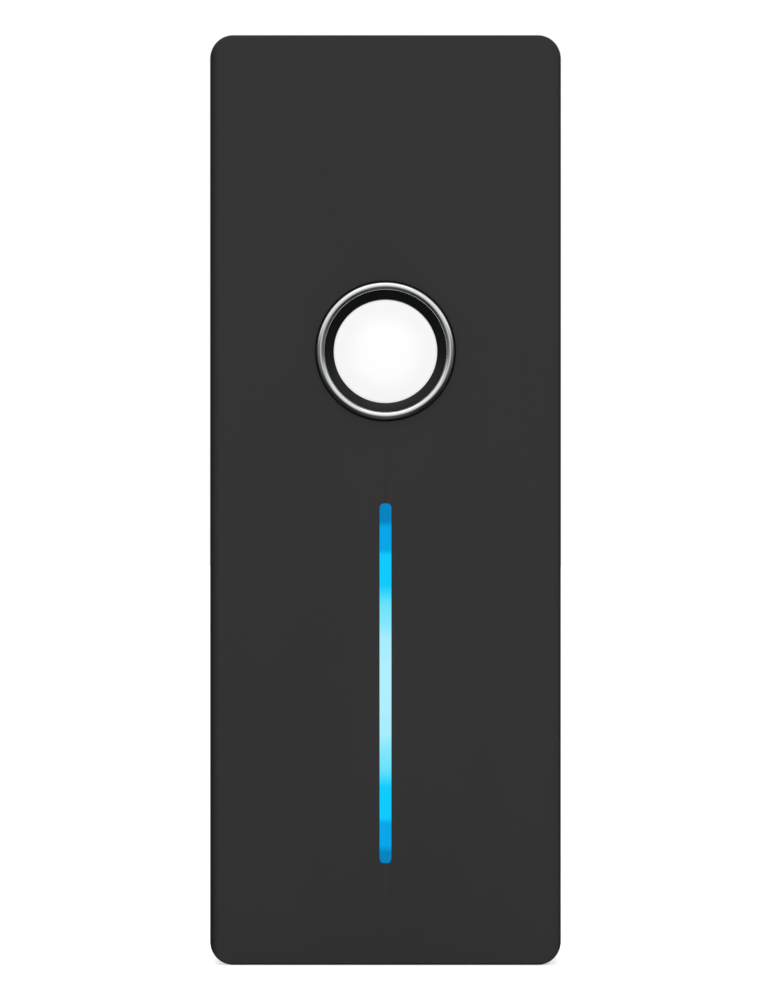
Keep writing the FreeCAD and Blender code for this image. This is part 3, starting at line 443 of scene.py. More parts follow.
def coated_glass(name, tint, clear, ior=1.5):
    """Lens glass or clear acrylic, with a coating's tint and the odd speck of dust."""
    f = Finish(name)
    speck = f.cells(0.0013, seed=3.0).step(0.08, 0.03)
    haze = f.noise(0.002, 3.0, seed=1.0)
    return f.shade(Base_Color=f.mix(haze.step(0.3, 0.7), tint, [min(1.0, c * 1.08) for c in tint]),
                   Roughness=0.015 + haze * 0.02 + speck * 0.4, Transmission_Weight=clear, IOR=ior,
                   Coat_Weight=0.3, Normal=f.relief(haze, 0.000001))


def lamp_resin(name, colour, glow):
    """Lamp packages: milky resin over a bright die, in a pale frame."""
    f = Finish(name)
    cloud = f.noise(0.0005, 3.0, seed=4.0)
    return f.shade(Base_Color=f.vary(colour, cloud, 0.12), Roughness=0.28 + cloud * 0.15,
                   Emission_Color=f.vary(glow, cloud, 0.1), Emission_Strength=1.0,
                   Normal=f.relief(cloud, 0.00001))


def milky_cap(name, colours):
    """The lit cap: evenly milky. Its glow carries painted shade, a touch dimmer from part way out, and
    painted light that lifts it back to full where the face turns down at the rim.
    """
    f = Finish(name)
    radius = f.from_button()
    # painted shade and light: rim dims the glow part way out, edge lifts it back to full where the face
    # turns down
    rim, edge = radius.step(0.003, 0.0054), radius.step(0.006, 0.0068)
    fine, cloud = f.noise(0.00014, 3.0), f.noise(0.003, 3.0, seed=5.0)
    glow = f.mix(edge, f.mix(rim, (1.0, 1.0, 1.0), (0.94, 0.94, 0.94)), (1.0, 1.0, 1.0))
    return f.shade(Base_Color=f.vary(colours.cap, cloud, 0.02), Roughness=0.34 + (fine - 0.5) * 0.1,
                   Emission_Color=glow, Emission_Strength=colours.glow_cap,
                   Normal=f.relief(fine, 0.000002))


def lit_bar(name, colours):
    """The lit bar: one zone of colour after another, pale in the middle and blue at the ends."""
    f = Finish(name)
    half, lowered = 24.0 * MM, 0.00043  # the zones centre a little below the bar's own middle
    out = abs(f.z - (BAR_Z * MM - lowered)) / half
    c = colours
    stops = [(0.0, c.bar_middle), (0.13, c.bar_middle), (0.17, c.bar_quarter), (0.26, c.bar_quarter),
             (0.35, c.bar_pale), (0.46, c.bar_fade), (0.52, c.bar_bright), (0.56, c.bar_cyan),
             (0.73, c.bar_cyan), (0.76, c.bar_blue), (0.885, c.bar_blue), (0.92, c.bar_end),
             (1.0, c.bar_end)]
    glow = f.add("ValToRGB", {"stops": stops}, {"Fac": out}, "Color")
    fine = f.noise(0.00012, 3.0)
    return f.shade(Base_Color=f.vary(c.bar_unlit, fine, 0.2), Roughness=0.5 + (fine - 0.5) * 0.1,
                   Specular_IOR_Level=0.03, Emission_Color=glow, Emission_Strength=c.glow_bar,
                   Normal=f.relief(fine, 0.000002))


def speaker_wire(name):
    """Two leads, one red and one black, in soft sleeving."""
    f = Finish(name)
    between, blend = -0.004, 0.0001
    which = f.x.step(between - blend, between + blend)
    fine = f.noise(0.0002, 3.0)
    return f.shade(Base_Color=f.mix(which, (0.3, 0.012, 0.01), (0.012, 0.012, 0.012)),
                   Roughness=0.4 + fine * 0.2, Normal=f.relief(fine, 0.000006))


def finishes(colours):
    """The maker of each of the record's material slots, with its name and what it needs."""
    return {
        "fascia_plastic": partial(smoked_front, "Smoked satin front", colours),
        "housing_plastic": partial(moulded, "Casing plastic, spark grain", colours.casing,
                                   grain=0.0003, relief=0.000011),
        "cover_plastic": partial(moulded, "Rear cover plastic", colours.casing, roughness=0.56,
                                 grain=0.00034, relief=0.000012),
        "plate_plastic": partial(moulded, "Wall plate plastic", colours.mount, roughness=0.58,
                                 grain=0.00036, relief=0.000014),
        "latch_plastic": partial(moulded, "Latch acetal", (0.034, 0.035, 0.036), roughness=0.36,
                                 grain=0.0004, relief=0.000003),
        "spring_steel": partial(sheet_metal, "Spring wire", (0.5, 0.49, 0.47), 0.26, (1, 1, 5)),
        "adhesive": partial(rubber, "Die-cut adhesive", (0.012, 0.012, 0.013), roughness=0.5),
        "silicone_seal": partial(rubber, "Cover seal silicone", (0.09, 0.022, 0.016)),
        "screw_steel": partial(sheet_metal, "Screw steel, black zinc", (0.12, 0.12, 0.125), 0.34,
                               (1, 1, 1)),
        "vent_cloth": partial(woven, "Vent membrane", (0.72, 0.73, 0.74), "x", "z", pitch=0.0002),
        "ring_chrome": partial(polished_chrome, "Trim ring chrome", colours.chrome),
        "collar_plastic": partial(moulded, "Collar, polished black", colours.collar, roughness=0.24,
                                  grain=0.0009, relief=0.0000008, edge=0.0, gloss=0.2),
        "cap_plastic": partial(milky_cap, "Lit cap, milky", colours),
        "boot_silicone": partial(rubber, "Switch boot silicone", (0.56, 0.57, 0.58), roughness=0.45,
                                 clear=0.5),
        "white_plastic": partial(moulded, "Reflector white", (0.78, 0.78, 0.76), roughness=0.42,
                                 grain=0.0003, relief=0.000004),
        "led_resin": partial(lamp_resin, "Lamp resin", (0.8, 0.78, 0.55), glow=(0.6, 0.75, 0.9)),
        "infrared_resin": partial(lamp_resin, "Infrared lamp resin", (0.05, 0.02, 0.045),
                                  glow=(0.01, 0, 0.002)),
        "bar_lens": partial(lit_bar, "Light bar diffuser, lit", colours),
        "guide_acrylic": partial(coated_glass, "Light guide acrylic", (0.9, 0.95, 0.97), clear=0.9,
                                 ior=1.49),
        "board_green": partial(circuit_board, "Circuit board", (0.008, 0.07, 0.035)),
        "lens_glass": partial(coated_glass, "Lens glass, violet coating", (0.78, 0.76, 0.95),
                              clear=0.95, ior=1.6),
        "filter_glass": partial(coated_glass, "Infrared-cut glass", (0.45, 0.75, 0.85), clear=0.8),
        "lens_black": partial(moulded, "Lens barrel black", (0.009, 0.009, 0.009), roughness=0.66,
                              grain=0.00016),
        "sensor_glass": partial(coated_glass, "Sensor glass", (0.12, 0.1, 0.16), clear=0.25),
        "steel_sheet": partial(sheet_metal, "Bracket steel", (0.5, 0.5, 0.49), 0.32),
        "tin_plate": partial(sheet_metal, "Shield tin plate", (0.63, 0.62, 0.6), 0.38),
        "black_foam": partial(foam, "Lens foam", (0.02, 0.02, 0.02)),
        "chip_resin": partial(chip_resin, "Chip resin", (0.016, 0.016, 0.017), leads=(0.5, 0.5, 0.5)),
        "aluminium_plate": partial(sheet_metal, "Heat spreader aluminium", (0.66, 0.67, 0.68), 0.3,
                                   (1, 1, 16)),
        "capacitor_can": partial(sheet_metal, "Capacitor cans", (0.6, 0.61, 0.63), 0.24, (1, 12, 1)),
        "ferrite": partial(chip_resin, "Inductor ferrite", (0.035, 0.034, 0.033), leads=(0.1, 0.1, 0.1)),
        "cell_wrap": partial(shrink_wrap, "Backup cell wrap", (0.03, 0.12, 0.2), band=(0.5, 0.5, 0.48)),
        "antenna_film": partial(circuit_board, "Antenna film", (0.24, 0.09, 0.02)),
        "brass_insert": partial(sheet_metal, "Turned brass", (0.66, 0.46, 0.2), 0.28, (1, 9, 1)),
        "connector_plastic": partial(moulded, "Connector nylon", (0.58, 0.55, 0.46), grain=0.0003),
        "switch_plastic": partial(moulded, "Switch housing", (0.02, 0.02, 0.022), roughness=0.45),
        "plunger_plastic": partial(moulded, "Switch plungers", (0.5, 0.5, 0.48), roughness=0.4),
        "setup_plastic": partial(moulded, "Setup button plastic", (0.32, 0.085, 0.012),
                                 roughness=0.42, grain=0.0003),
        "cone_film": partial(rubber, "Speaker cone film", (0.1, 0.1, 0.11), roughness=0.35),
        "speaker_cloth": partial(woven, "Sound slot mesh", (0.05, 0.05, 0.052), "x", "y", pitch=0.00024),
        "lead_cover": partial(speaker_wire, "Speaker lead sleeving"),
    }


def finish_of(slot, colours):
    """The one material of a slot, made when it is first asked for."""
    make = finishes(colours)[slot]
    return bpy.data.materials.get(make.args[0]) or make()


# ---------------------------------------------------------------- shapes in millimetres
def at(x, depth, z):
    """A point from its place across, its depth from the wall and its height."""
    return Vector((x, -depth, z)) * MM


def soften(corners, radius, steps=5):
    """A closed or open outline with its corners rounded; a corner's third number is its own radius."""
    straight, most = 0.02, 0.45  # a turn too slight to round, and the share of a side that rounding takes
    outline = []
    for index, corner in enumerate(corners):
        here = Vector(corner[:2])
        before, after = Vector(corners[index - 1][:2]), Vector(corners[(index + 1) % len(corners)][:2])
        back, ahead = before - here, after - here
        own = corner[2] if len(corner) > 2 else radius
        turn = back.angle(ahead, 0.0)
        if own == 0 or here.x == 0 or turn > math.pi - straight or turn < straight:
            outline.append(here)
            continue
        reach = min(own / math.tan(turn / 2), most * back.length, most * ahead.length)
        bend = reach * math.tan(turn / 2)
        back.normalize()
        ahead.normalize()
        centre = here + (back + ahead).normalized() * (bend / math.sin(turn / 2))
        first = (here + back * reach - centre).normalized()
        last = (here + ahead * reach - centre).normalized()
        outline += [centre + first.slerp(last, step / steps) * bend for step in range(steps + 1)]
    return outline


def dome(reach, crown, fall, steps):
    """The start of an outline: a shallow dome from the axis out to its reach."""
    return [(reach * step / steps, crown - fall * (step / steps) ** 2, 0) for step in range(steps + 1)]


def quarter_round(radius, steps):
    """How far in and how far down each point of a rounded edge lies, from its side to its face."""
    angles = [QUARTER * step / steps for step in range(steps + 1)]
    return [(radius * (1 - math.cos(a)), radius * (1 - math.sin(a))) for a in angles]


def full_circle(sides):
    """As many angles as there are sides, evenly round a circle."""
    return [2 * math.pi * side / sides for side in range(sides)]


def arc(middle, radii, start, end, steps):
    """Points on an ellipse's arc, from one angle to another."""
    angles = [start + (end - start) * step / steps for step in range(steps + 1)]
    return [(middle[0] + radii[0] * math.cos(a), middle[1] + radii[1] * math.sin(a), 0) for a in angles]


def oblong(width, height, corner, inset=0.0, z=0.0, steps=10, along=8):
    """Points round a rounded rectangle, as many at every inset."""
    half_w, half_h, sharpest = width / 2 - inset, height / 2 - inset, 0.02
    bend = max(corner - inset, sharpest)
    corners = []
    for quarter, (sx, sz) in enumerate(((1, 1), (-1, 1), (-1, -1), (1, -1))):
        centre = Vector((sx * (half_w - bend), z + sz * (half_h - bend)))
        angles = [(quarter + step / steps) * QUARTER for step in range(steps + 1)]
        corners.append([centre + Vector((math.cos(a), math.sin(a))) * bend for a in angles])
    points = []
    for index, curve in enumerate(corners):
        points += curve
        target = corners[(index + 1) % 4][0]
        points += [curve[-1].lerp(target, step / along) for step in range(1, along)]
    return points


def ring_of(mesh, points, depth):
    """A loop of new vertices; depth may be a number or a function of x."""
    deep = depth if callable(depth) else lambda x: depth
    return [mesh.verts.new(at(x, deep(x), z)) for x, z in points]


def join(mesh, one, other):
    """Faces between two loops of as many vertices, either of which may be a single point."""
    count = max(len(one), len(other))
    for index in range(count):
        after = (index + 1) % count
        corners = [one[index % len(one)], one[after % len(one)], other[after % len(other)],
                   other[index % len(other)]]
        mesh.faces.new(list(dict.fromkeys(corners)))


def skin(mesh, loops, closed=False):
    """Faces through a row of loops, and back to the first if closed."""
    for one, other in zip(loops, loops[1:] + loops[:1] if closed else loops[1:]):
        join(mesh, one, other)


def fill(mesh, *loops):
    """Flat faces inside the first loop and outside the others."""
    edges = []
    for loop in loops:
        for one, other in zip(loop, loop[1:] + loop[:1]):
            edges.append(mesh.edges.get((one, other)) or mesh.edges.new((one, other)))
    bmesh.ops.triangle_fill(mesh, use_beauty=True, use_dissolve=False, edges=edges)


def turn(mesh, outline, z, sides, closed, x=0.0):
    """Turns an outline of (radius, depth) points round an axis that runs out from the wall."""
    loops = []
    for radius, depth in outline:
        angles = full_circle(sides) if radius else [0.0]
        loops.append([mesh.verts.new(at(x + radius * math.cos(a), depth, z + radius * math.sin(a)))
                      for a in angles])
    skin(mesh, loops, closed)


def add_piece(context, name, mesh, body, slot, *nodes):
    """Makes a finished mesh into a piece on a body that stands for CAD nodes."""
    bmesh.ops.recalc_face_normals(mesh, faces=mesh.faces)
    data = bpy.data.meshes.new(name)
    mesh.to_mesh(data)
    mesh.free()
    data.shade_smooth()
    data.set_sharp_from_angle(angle=FLAT_TURN)
    data.materials.append(finish_of(slot, context.scene.doorbell_colours))
    piece = bpy.data.objects.new(name, data)
    context.collection.objects.link(piece)
    even = piece.modifiers.new("Even shading", "WEIGHTED_NORMAL")
    even.keep_sharp = True
    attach(piece, body)
    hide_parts(*nodes)
    return piece


def dress(context, *names):
    """Gives CAD nodes that keep their shape the finish of their own slot."""
    for name in names:
        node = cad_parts[name]
        for held in node.material_slots:
            held.material = finish_of(held.material.name, context.scene.doorbell_colours)


# ---------------------------------------------------------------- one operator for each piece or group
class DOORBELL_OT_stage(bpy.types.Operator):
    """Floor, sky, softbox and camera"""
    bl_idname = "doorbell.stage"
    bl_label = "Stage and camera"
    bl_options = {"REGISTER", "UNDO"}

    def execute(self, context):
        studio = context.scene.doorbell_studio
        context.scene.view_settings.view_transform = "Standard"
        self.make_camera(context, studio)
        self.make_floor(context, studio)
        self.make_sky(context, studio)
        self.make_softbox(context, studio)
        return {"FINISHED"}

    def make_camera(self, context, studio):
        lens = bpy.data.cameras.new("Front camera")
        lens.lens, lens.sensor_width = studio.lens, 36.0
        lens.clip_start, lens.clip_end = 0.01, 50.0
        camera = bpy.data.objects.new("Front camera", lens)
        context.collection.objects.link(camera)
        camera.location = (0.0, PLATE_LOW.y - studio.distance, 0.0)
        camera.rotation_euler = (QUARTER, 0.0, 0.0)
        context.scene.camera = camera

    def make_floor(self, context, studio):
        mesh = bmesh.new()
        reach, room = 3.0, 0.00005
        corners = [(-reach, -reach), (reach, -reach), (reach, reach), (-reach, reach)]
        mesh.faces.new([mesh.verts.new((x, y, CAD_BOX[0].z - room)) for x, y in corners])
        bmesh.ops.subdivide_edges(mesh, edges=mesh.edges, cuts=7, use_grid_fill=True)
        data = bpy.data.meshes.new("Floor")
        mesh.to_mesh(data)
        mesh.free()
        f = Finish("Pale studio floor")
        cloud, glow = f.noise(0.4, 3.0), (0.98, 0.98, 0.98)
        data.materials.append(f.shade(
            Base_Color=f.vary(studio.floor, cloud, 0.01), Roughness=0.8 + cloud * 0.1,
            Specular_IOR_Level=0.1, Emission_Color=f.vary(glow, cloud, 0.01),
            Emission_Strength=studio.floor_fill))
        floor = bpy.data.objects.new("Floor", data)
        context.collection.objects.link(floor)
        floor.visible_glossy = False

    def make_sky(self, context, studio):
        world = bpy.data.worlds.new("Soft studio")
        context.scene.world = world
        sky = Nodes(world)
        across, _, up = sky.add("TexCoord", output="Generated").parts()
        rise = up.step(-0.62, 0.45, studio.below, studio.overhead)
        flags = 1 - abs(across).step(0.05, 0.6) * (1 - up.step(0.05, 0.42)) * studio.flags
        soft = sky.add("Background", {}, {"Color": (1, 1, 1, 1), "Strength": rise * flags})
        plain = sky.add("Background", {}, {"Color": (1, 1, 1, 1), "Strength": 1.0})
        seen = sky.add("LightPath", output="Is Camera Ray")
        both = sky.add("MixShader", {}, {"Fac": seen, "Shader": soft, "Shader_001": plain})
        sky.add("OutputWorld", {}, {"Surface": both})

    def make_softbox(self, context, studio):
        width, depth, place = 0.9, 0.7, Vector((-0.1, -0.35, 0.85))
        light = bpy.data.lights.new("Overhead softbox", "AREA")
        light.shape, light.size, light.size_y = "RECTANGLE", width, depth
        light.energy = studio.softbox
        lamp = bpy.data.objects.new("Overhead softbox", light)
        context.collection.objects.link(lamp)
        lamp.location = place
        lamp.rotation_euler = (-place).to_track_quat("-Z", "Y").to_euler()


class DOORBELL_OT_front_plate(bpy.types.Operator):
    """Smoked front plate: rolled long sides, fine rim, hole for the button and slot for the bar"""
    bl_idname = "doorbell.front_plate"
    bl_label = "Front plate"
    bl_options = {"REGISTER", "UNDO"}

    def execute(self, context):
        sizes = context.scene.doorbell_sizes
        _, back, front = extent("front_fascia")
        corner, rim, roll, drop = (v / MM for v in (sizes.corner, sizes.rim, sizes.roll, sizes.drop))
        bend = (roll**2 + drop**2) / (2 * drop)  # radius of the rolled strip
        rear_edge = 0.08
        rows = (0.5, 0.75, 1.0, 1.3, 1.6, 1.9, 2.3)  # insets of the rows that follow the roll

        def surface(x):
            over = min(max(abs(x) - (PLATE_WIDTH / 2 - roll), 0.0), roll)
            return front - (bend - math.sqrt(bend**2 - over**2))

        def outer(inset):
            return oblong(PLATE_WIDTH, PLATE_HEIGHT, corner, inset, steps=14, along=12)

        mesh = bmesh.new()
        loops = [ring_of(mesh, outer(rear_edge), back), ring_of(mesh, outer(0.0), back + rear_edge)]
        for inset, below in quarter_round(rim, 7):
            loops.append(ring_of(mesh, outer(inset), lambda x, k=below: surface(x) - k))
        for inset in rows:
            loops.append(ring_of(mesh, outer(inset), surface))
        skin(mesh, loops)
        hole, edge = sizes.hole / MM, sizes.hole_edge / MM
        gap = sizes.bar_gap / MM
        width, length = sizes.bar_width / MM + 2 * gap, sizes.bar_length / MM + 2 * gap
        bar_corner = sizes.bar_corner / MM + gap

        def round_hole(out):
            return [(math.cos(a) * (hole + out), BUTTON_Z + math.sin(a) * (hole + out))
                    for a in full_circle(sizes.turned_sides)]

        def slot_hole(out):
            return oblong(width, length, bar_corner, -out, BAR_Z, 8, 10)

        openings = []
        for shape in (round_hole, slot_hole):
            walls = [ring_of(mesh, shape(0.0), back)]
            for out, below in quarter_round(edge, 4):
                walls.append(ring_of(mesh, shape(out), front - below))
            skin(mesh, walls)
            openings.append((walls[0], walls[-1]))
        fill(mesh, loops[-1], *[face for _, face in openings])
        fill(mesh, loops[0], *[rear for rear, _ in openings])
        add_piece(context, "front_plate", mesh, "doorbell", "fascia_plastic", "front_fascia")
        return {"FINISHED"}


class DOORBELL_OT_trim_ring(bpy.types.Operator):
    """Chromed ring with a half-round front, on a spigot"""
    bl_idname = "doorbell.trim_ring"
    bl_label = "Trim ring"
    bl_options = {"REGISTER", "UNDO"}

    def execute(self, context):
        sizes = context.scene.doorbell_sizes
        outer, back, crest = extent("button_ring")
        bore, spigot, seat, shoulder = 8.1, 8.58, 20.0, 22.35
        half = (outer - bore) / 2
        crown = arc((outer - half, shoulder), (half, crest - shoulder), 0.0, math.pi, 36)
        outline = [(bore, back), (spigot, back), (spigot, seat), (outer, seat)] + crown
        mesh = bmesh.new()
        turn(mesh, soften(outline, 0.06, 3), BUTTON_Z, 2 * sizes.turned_sides, closed=True)
        add_piece(context, "trim_ring", mesh, "doorbell", "ring_chrome", "button_ring")
        return {"FINISHED"}


class DOORBELL_OT_collar(bpy.types.Operator):
    """Polished black funnel between the ring and the cap"""
    bl_idname = "doorbell.collar"
    bl_label = "Collar"
    bl_options = {"REGISTER", "UNDO"}

    def execute(self, context):
        sizes = context.scene.doorbell_sizes
        outer, back, front = extent("button_collar")
        throat, throat_front, bore, ledge = 6.93, 21.55, 7.6, 19.6  # the throat clears the cap
        outline = [(outer, back), (outer, front, 0.04), (throat, throat_front, 0.1), (throat, ledge),
                   (bore, ledge), (bore, back)]
        mesh = bmesh.new()
        turn(mesh, soften(outline, 0.05, 5), BUTTON_Z, sizes.turned_sides, closed=True)
        add_piece(context, "button_funnel", mesh, "doorbell", "collar_plastic", "button_collar")
        return {"FINISHED"}


class DOORBELL_OT_cap(bpy.types.Operator):
    """Milky cap: slightly domed, with a turned-down rim, a retaining flange and a post"""
    bl_idname = "doorbell.cap"
    bl_label = "Button cap"
    bl_options = {"REGISTER", "UNDO"}

    def execute(self, context):
        sizes = context.scene.doorbell_sizes
        flange, flange_back, crown = extent("button_cap")
        skirt, skirt_front, flange_front = 6.86, 20.99, 19.57
        hollow, ceiling, post, post_back = 6.0, 20.05, 1.5, 19.5
        outline = dome(reach=6.6, crown=crown, fall=0.3, steps=14)
        outline += [(skirt, skirt_front, 0.08), (skirt, flange_front, 0), (flange, flange_front),
                    (flange, flange_back), (hollow, flange_back), (hollow, ceiling, 0.3),
                    (post, ceiling, 0.3), (post, post_back), (0, post_back)]
        mesh = bmesh.new()
        turn(mesh, soften(outline, 0.08, 5), BUTTON_Z, sizes.turned_sides, closed=False)
        cap = add_piece(context, "lit_cap", mesh, "button", "cap_plastic", "button_cap")
        cap.visible_glossy = False  # its glow stays a soft one, with no hard line mirrored in the ring
        return {"FINISHED"}


class DOORBELL_OT_boot(bpy.types.Operator):
    """Silicone boot over the switch, which folds down as the cap is pressed; it is built here at rest"""
    bl_idname = "doorbell.boot"
    bl_label = "Switch boot"
    bl_options = {"REGISTER", "UNDO"}

    def execute(self, context):
        rim, back, pad_front = extent("button_seal")
        foot, rim_front, wall, pad, pad_back = 6.6, 17.28, 0.3, 2.0, 19.22
        outline = [(0, pad_back), (pad, pad_back, 0.15), (foot, rim_front - wall, 0.3), (foot, back),
                   (rim, back), (rim, rim_front), (foot, rim_front, 0.3), (pad, pad_front, 0.15),
                   (0, pad_front)]
        mesh = bmesh.new()
        turn(mesh, soften(outline, 0.08, 5), BUTTON_Z, sides=96, closed=False)
        boot = add_piece(context, "switch_boot", mesh, "doorbell", "boot_silicone", "button_seal")
        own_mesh(boot)
        return {"FINISHED"}


class DOORBELL_OT_light_bar(bpy.types.Operator):
    """Lit diffuser strip on its hidden flange"""
    bl_idname = "doorbell.light_bar"
    bl_label = "Light bar"
    bl_options = {"REGISTER", "UNDO"}

    def execute(self, context):
        sizes = context.scene.doorbell_sizes
        width, length, corner = (v / MM for v in (sizes.bar_width, sizes.bar_length, sizes.bar_corner))
        half, back, front = extent("light_bar_lens")
        flange_front, over, edge = 20.2, 2.4, 0.1
        mesh = bmesh.new()
        loops = []
        for inset, depth in ((edge, back), (0.0, back + edge), (0.0, flange_front - edge),
                             (edge, flange_front)):
            loops.append(ring_of(mesh, oblong(2 * half, length + over, half, inset, BAR_Z), depth))
        loops.append(ring_of(mesh, oblong(width, length, corner, 0.0, BAR_Z), flange_front))
        for inset, below in quarter_round(edge, 5):
            loops.append(ring_of(mesh, oblong(width, length, corner, inset, BAR_Z), front - below))
        skin(mesh, loops)
        fill(mesh, loops[0])
        fill(mesh, loops[-1])
        add_piece(context, "light_bar", mesh, "doorbell", "bar_lens", "light_bar_lens")
        return {"FINISHED"}


class DOORBELL_OT_latch_coil(bpy.types.Operator):
    """Coil spring with closed ends that holds the latch down"""
    bl_idname = "doorbell.latch_coil"
    bl_label = "Latch spring"
    bl_options = {"REGISTER", "UNDO"}

    def execute(self, context):
        sizes = context.scene.doorbell_sizes
        wire, coil, turns = sizes.wire, sizes.coil, sizes.coil_turns
        low_corner, high_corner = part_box("latch_spring")
        low, high = low_corner.z + wire, high_corner.z - wire
        middle = (low_corner.y + high_corner.y) / 2
        closed = 2 * wire * 1.03  # what a closed turn climbs: the wire and a hair
        pitch = (high - low - 2 * closed) / (turns - 2)
        turn_steps, wire_sides = 28, 10
        mesh = bmesh.new()
        loops = []
        for step in range(turns * turn_steps + 1):
            turned = step / turn_steps
            inner = min(max(turned - 1, 0.0), turns - 2)
            ends = min(turned, 1.0) + max(turned - (turns - 1), 0.0)
            height = low + closed * ends + pitch * inner
            angle = 2 * math.pi * turned
            out = Vector((math.cos(angle), math.sin(angle), 0))
            centre = Vector((0, middle, height)) + out * coil
            along = Vector((-math.sin(angle) * coil, math.cos(angle) * coil, pitch / (2 * math.pi)))
            side = along.normalized().cross(out)
            loops.append([mesh.verts.new(centre + (out * math.cos(a) + side * math.sin(a)) * wire)
                          for a in full_circle(wire_sides)])
        skin(mesh, loops)
        mesh.faces.new(loops[0])
        mesh.faces.new(loops[-1])
        spring = add_piece(context, "latch_coil", mesh, "wall_plate", "spring_steel", "latch_spring")
        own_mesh(spring)
        return {"FINISHED"}


def recessed_screw(mesh, x, z, depths, head_r, shank_r, recess, deep):
    """A screw put in from behind: domed head with a recess, then a threaded shank."""
    back, seat, tip = depths
    angles = full_circle(96)
    taper, lip, lip_deep, cone = 0.72, 1.05, 0.06, 1.15

    def loop(radius, depth):
        reach = radius if callable(radius) else lambda a: radius
        return [mesh.verts.new(at(x + reach(a) * math.cos(a), depth, z + reach(a) * math.sin(a)))
                for a in angles]

    floor = [mesh.verts.new(at(x, back + deep * cone, z))]
    loops = [floor, loop(lambda a: taper * recess(a), back + deep), loop(recess, back + lip_deep),
             loop(lambda a: lip * recess(a), back + 0.005)]
    # the head's dome, as shares of its radius and of its height
    for part, sunk in ((0.72, 0.02), (0.84, 0.08), (0.93, 0.2), (0.985, 0.38), (1.0, 0.6), (1.0, 0.94),
                       (0.975, 1.0)):
        loops.append(loop(part * head_r, back + (seat - back) * sunk))
    loops.append(loop(shank_r, seat))
    ridge, pitch = 0.12 * shank_r, 0.42 * shank_r
    rows = max(int((tip - seat) / pitch * 4), 4)  # four rows to each turn of the thread
    for row in range(1, rows):
        depth = seat + (tip - seat) * row / rows
        turned = depth / pitch
        loops.append(loop(lambda a, t=turned: shank_r - ridge * abs(2 * ((t - a / (2 * math.pi)) % 1) - 1),
                          depth))
    loops.append(loop(0.75 * shank_r, tip))
    loops.append([mesh.verts.new(at(x, tip, z))])
    skin(mesh, loops)


def cross_recess(half, reach):
    """The outline of a cross whose arms are twice half wide and reach long, as a radius at each angle."""
    def radius(angle):
        c, s = max(abs(math.cos(angle)), 1e-6), max(abs(math.sin(angle)), 1e-6)
        return max(min(half / s, reach / c), min(half / c, reach / s))
    return radius


def star_recess(middle, swing):
    """The outline of a six-lobed socket, as a radius at each angle."""
    return lambda angle: middle + swing * math.cos(6 * angle)


class DOORBELL_OT_rear_screws(bpy.types.Operator):
    """Cover screws with star sockets, and terminal screws with cross recesses"""
    bl_idname = "doorbell.rear_screws"
    bl_label = "Rear screws"
    bl_options = {"REGISTER", "UNDO"}

    def execute(self, context):
        mesh = bmesh.new()
        _, back, tip = extent("cover_screws")
        seat, corner_x, corner_z = 4.2, 16.4, 55.0
        for x in (-corner_x, corner_x):
            for z in (-corner_z, corner_z):
                recessed_screw(mesh, x, z, (back, seat, tip), head_r=1.8, shank_r=1.0,
                               recess=star_recess(0.72, 0.13), deep=0.6)
        add_piece(context, "cover_star_screws", mesh, "doorbell", "screw_steel", "cover_screws")
        mesh = bmesh.new()
        _, back, tip = extent("terminal_screws")
        seat, terminal_x, terminal_z = 6.0, 6.0, -2.0
        for x in (-terminal_x, terminal_x):
            recessed_screw(mesh, x, terminal_z, (back, seat, tip), head_r=2.8, shank_r=1.5,
                           recess=cross_recess(0.32, 1.75), deep=1.0)
        add_piece(context, "terminal_cross_screws", mesh, "doorbell", "brass_insert", "terminal_screws")
        return {"FINISHED"}


class DOORBELL_OT_setup_key(bpy.types.Operator):
    """Dished setup button with a raised rim, in the rear cover"""
    bl_idname = "doorbell.setup_key"
    bl_label = "Setup button"
    bl_options = {"REGISTER", "UNDO"}

    def execute(self, context):
        _, back, stem_front = extent("setup_button")
        x, z = 9.0, 28.0
        rim, key, flange, stem = 2.08, 2.4, 3.2, 1.0
        flange_back, flange_front, room = 5.05, 5.8, 0.03  # room is left in front of the stem
        outline = dome(reach=1.9, crown=3.62, fall=0.12, steps=6)
        outline += [(rim, back, 0.1), (key, back, 0.14), (key, flange_back), (flange, flange_back),
                    (flange, flange_front), (stem, flange_front), (stem, stem_front - room),
                    (0, stem_front - room)]
        mesh = bmesh.new()
        turn(mesh, soften(outline, 0.08, 4), z, sides=96, closed=False, x=x)
        add_piece(context, "setup_key", mesh, "setup_button", "setup_plastic", "setup_button")
        return {"FINISHED"}


class DOORBELL_OT_casing(bpy.types.Operator):
    """Finishes of the housing, its cover, seal, vent and the front's adhesive"""
    bl_idname = "doorbell.casing"
    bl_label = "Casing"
    bl_options = {"REGISTER", "UNDO"}

    def execute(self, context):
        dress(context, "front_housing", "rear_cover", "cover_seal", "pressure_vent", "fascia_tape")
        return {"FINISHED"}


class DOORBELL_OT_mounting(bpy.types.Operator):
    """Finishes of the wall plate and its latch"""
    bl_idname = "doorbell.mounting"
    bl_label = "Mounting"
    bl_options = {"REGISTER", "UNDO"}

    def execute(self, context):
        dress(context, "wall_plate", "latch_slider")
        return {"FINISHED"}


class DOORBELL_OT_lamps(bpy.types.Operator):
    """Finishes of the lamps, light wells, switch and front board"""
    bl_idname = "doorbell.lamps"
    bl_label = "Button and bar lamps"
    bl_options = {"REGISTER", "UNDO"}

    def execute(self, context):
        dress(context, "button_light_well", "button_leds", "button_switch", "button_plunger",
              "light_bar_guide", "light_bar_reflector", "light_bar_leds", "front_board",
              "front_board_screws")
        return {"FINISHED"}


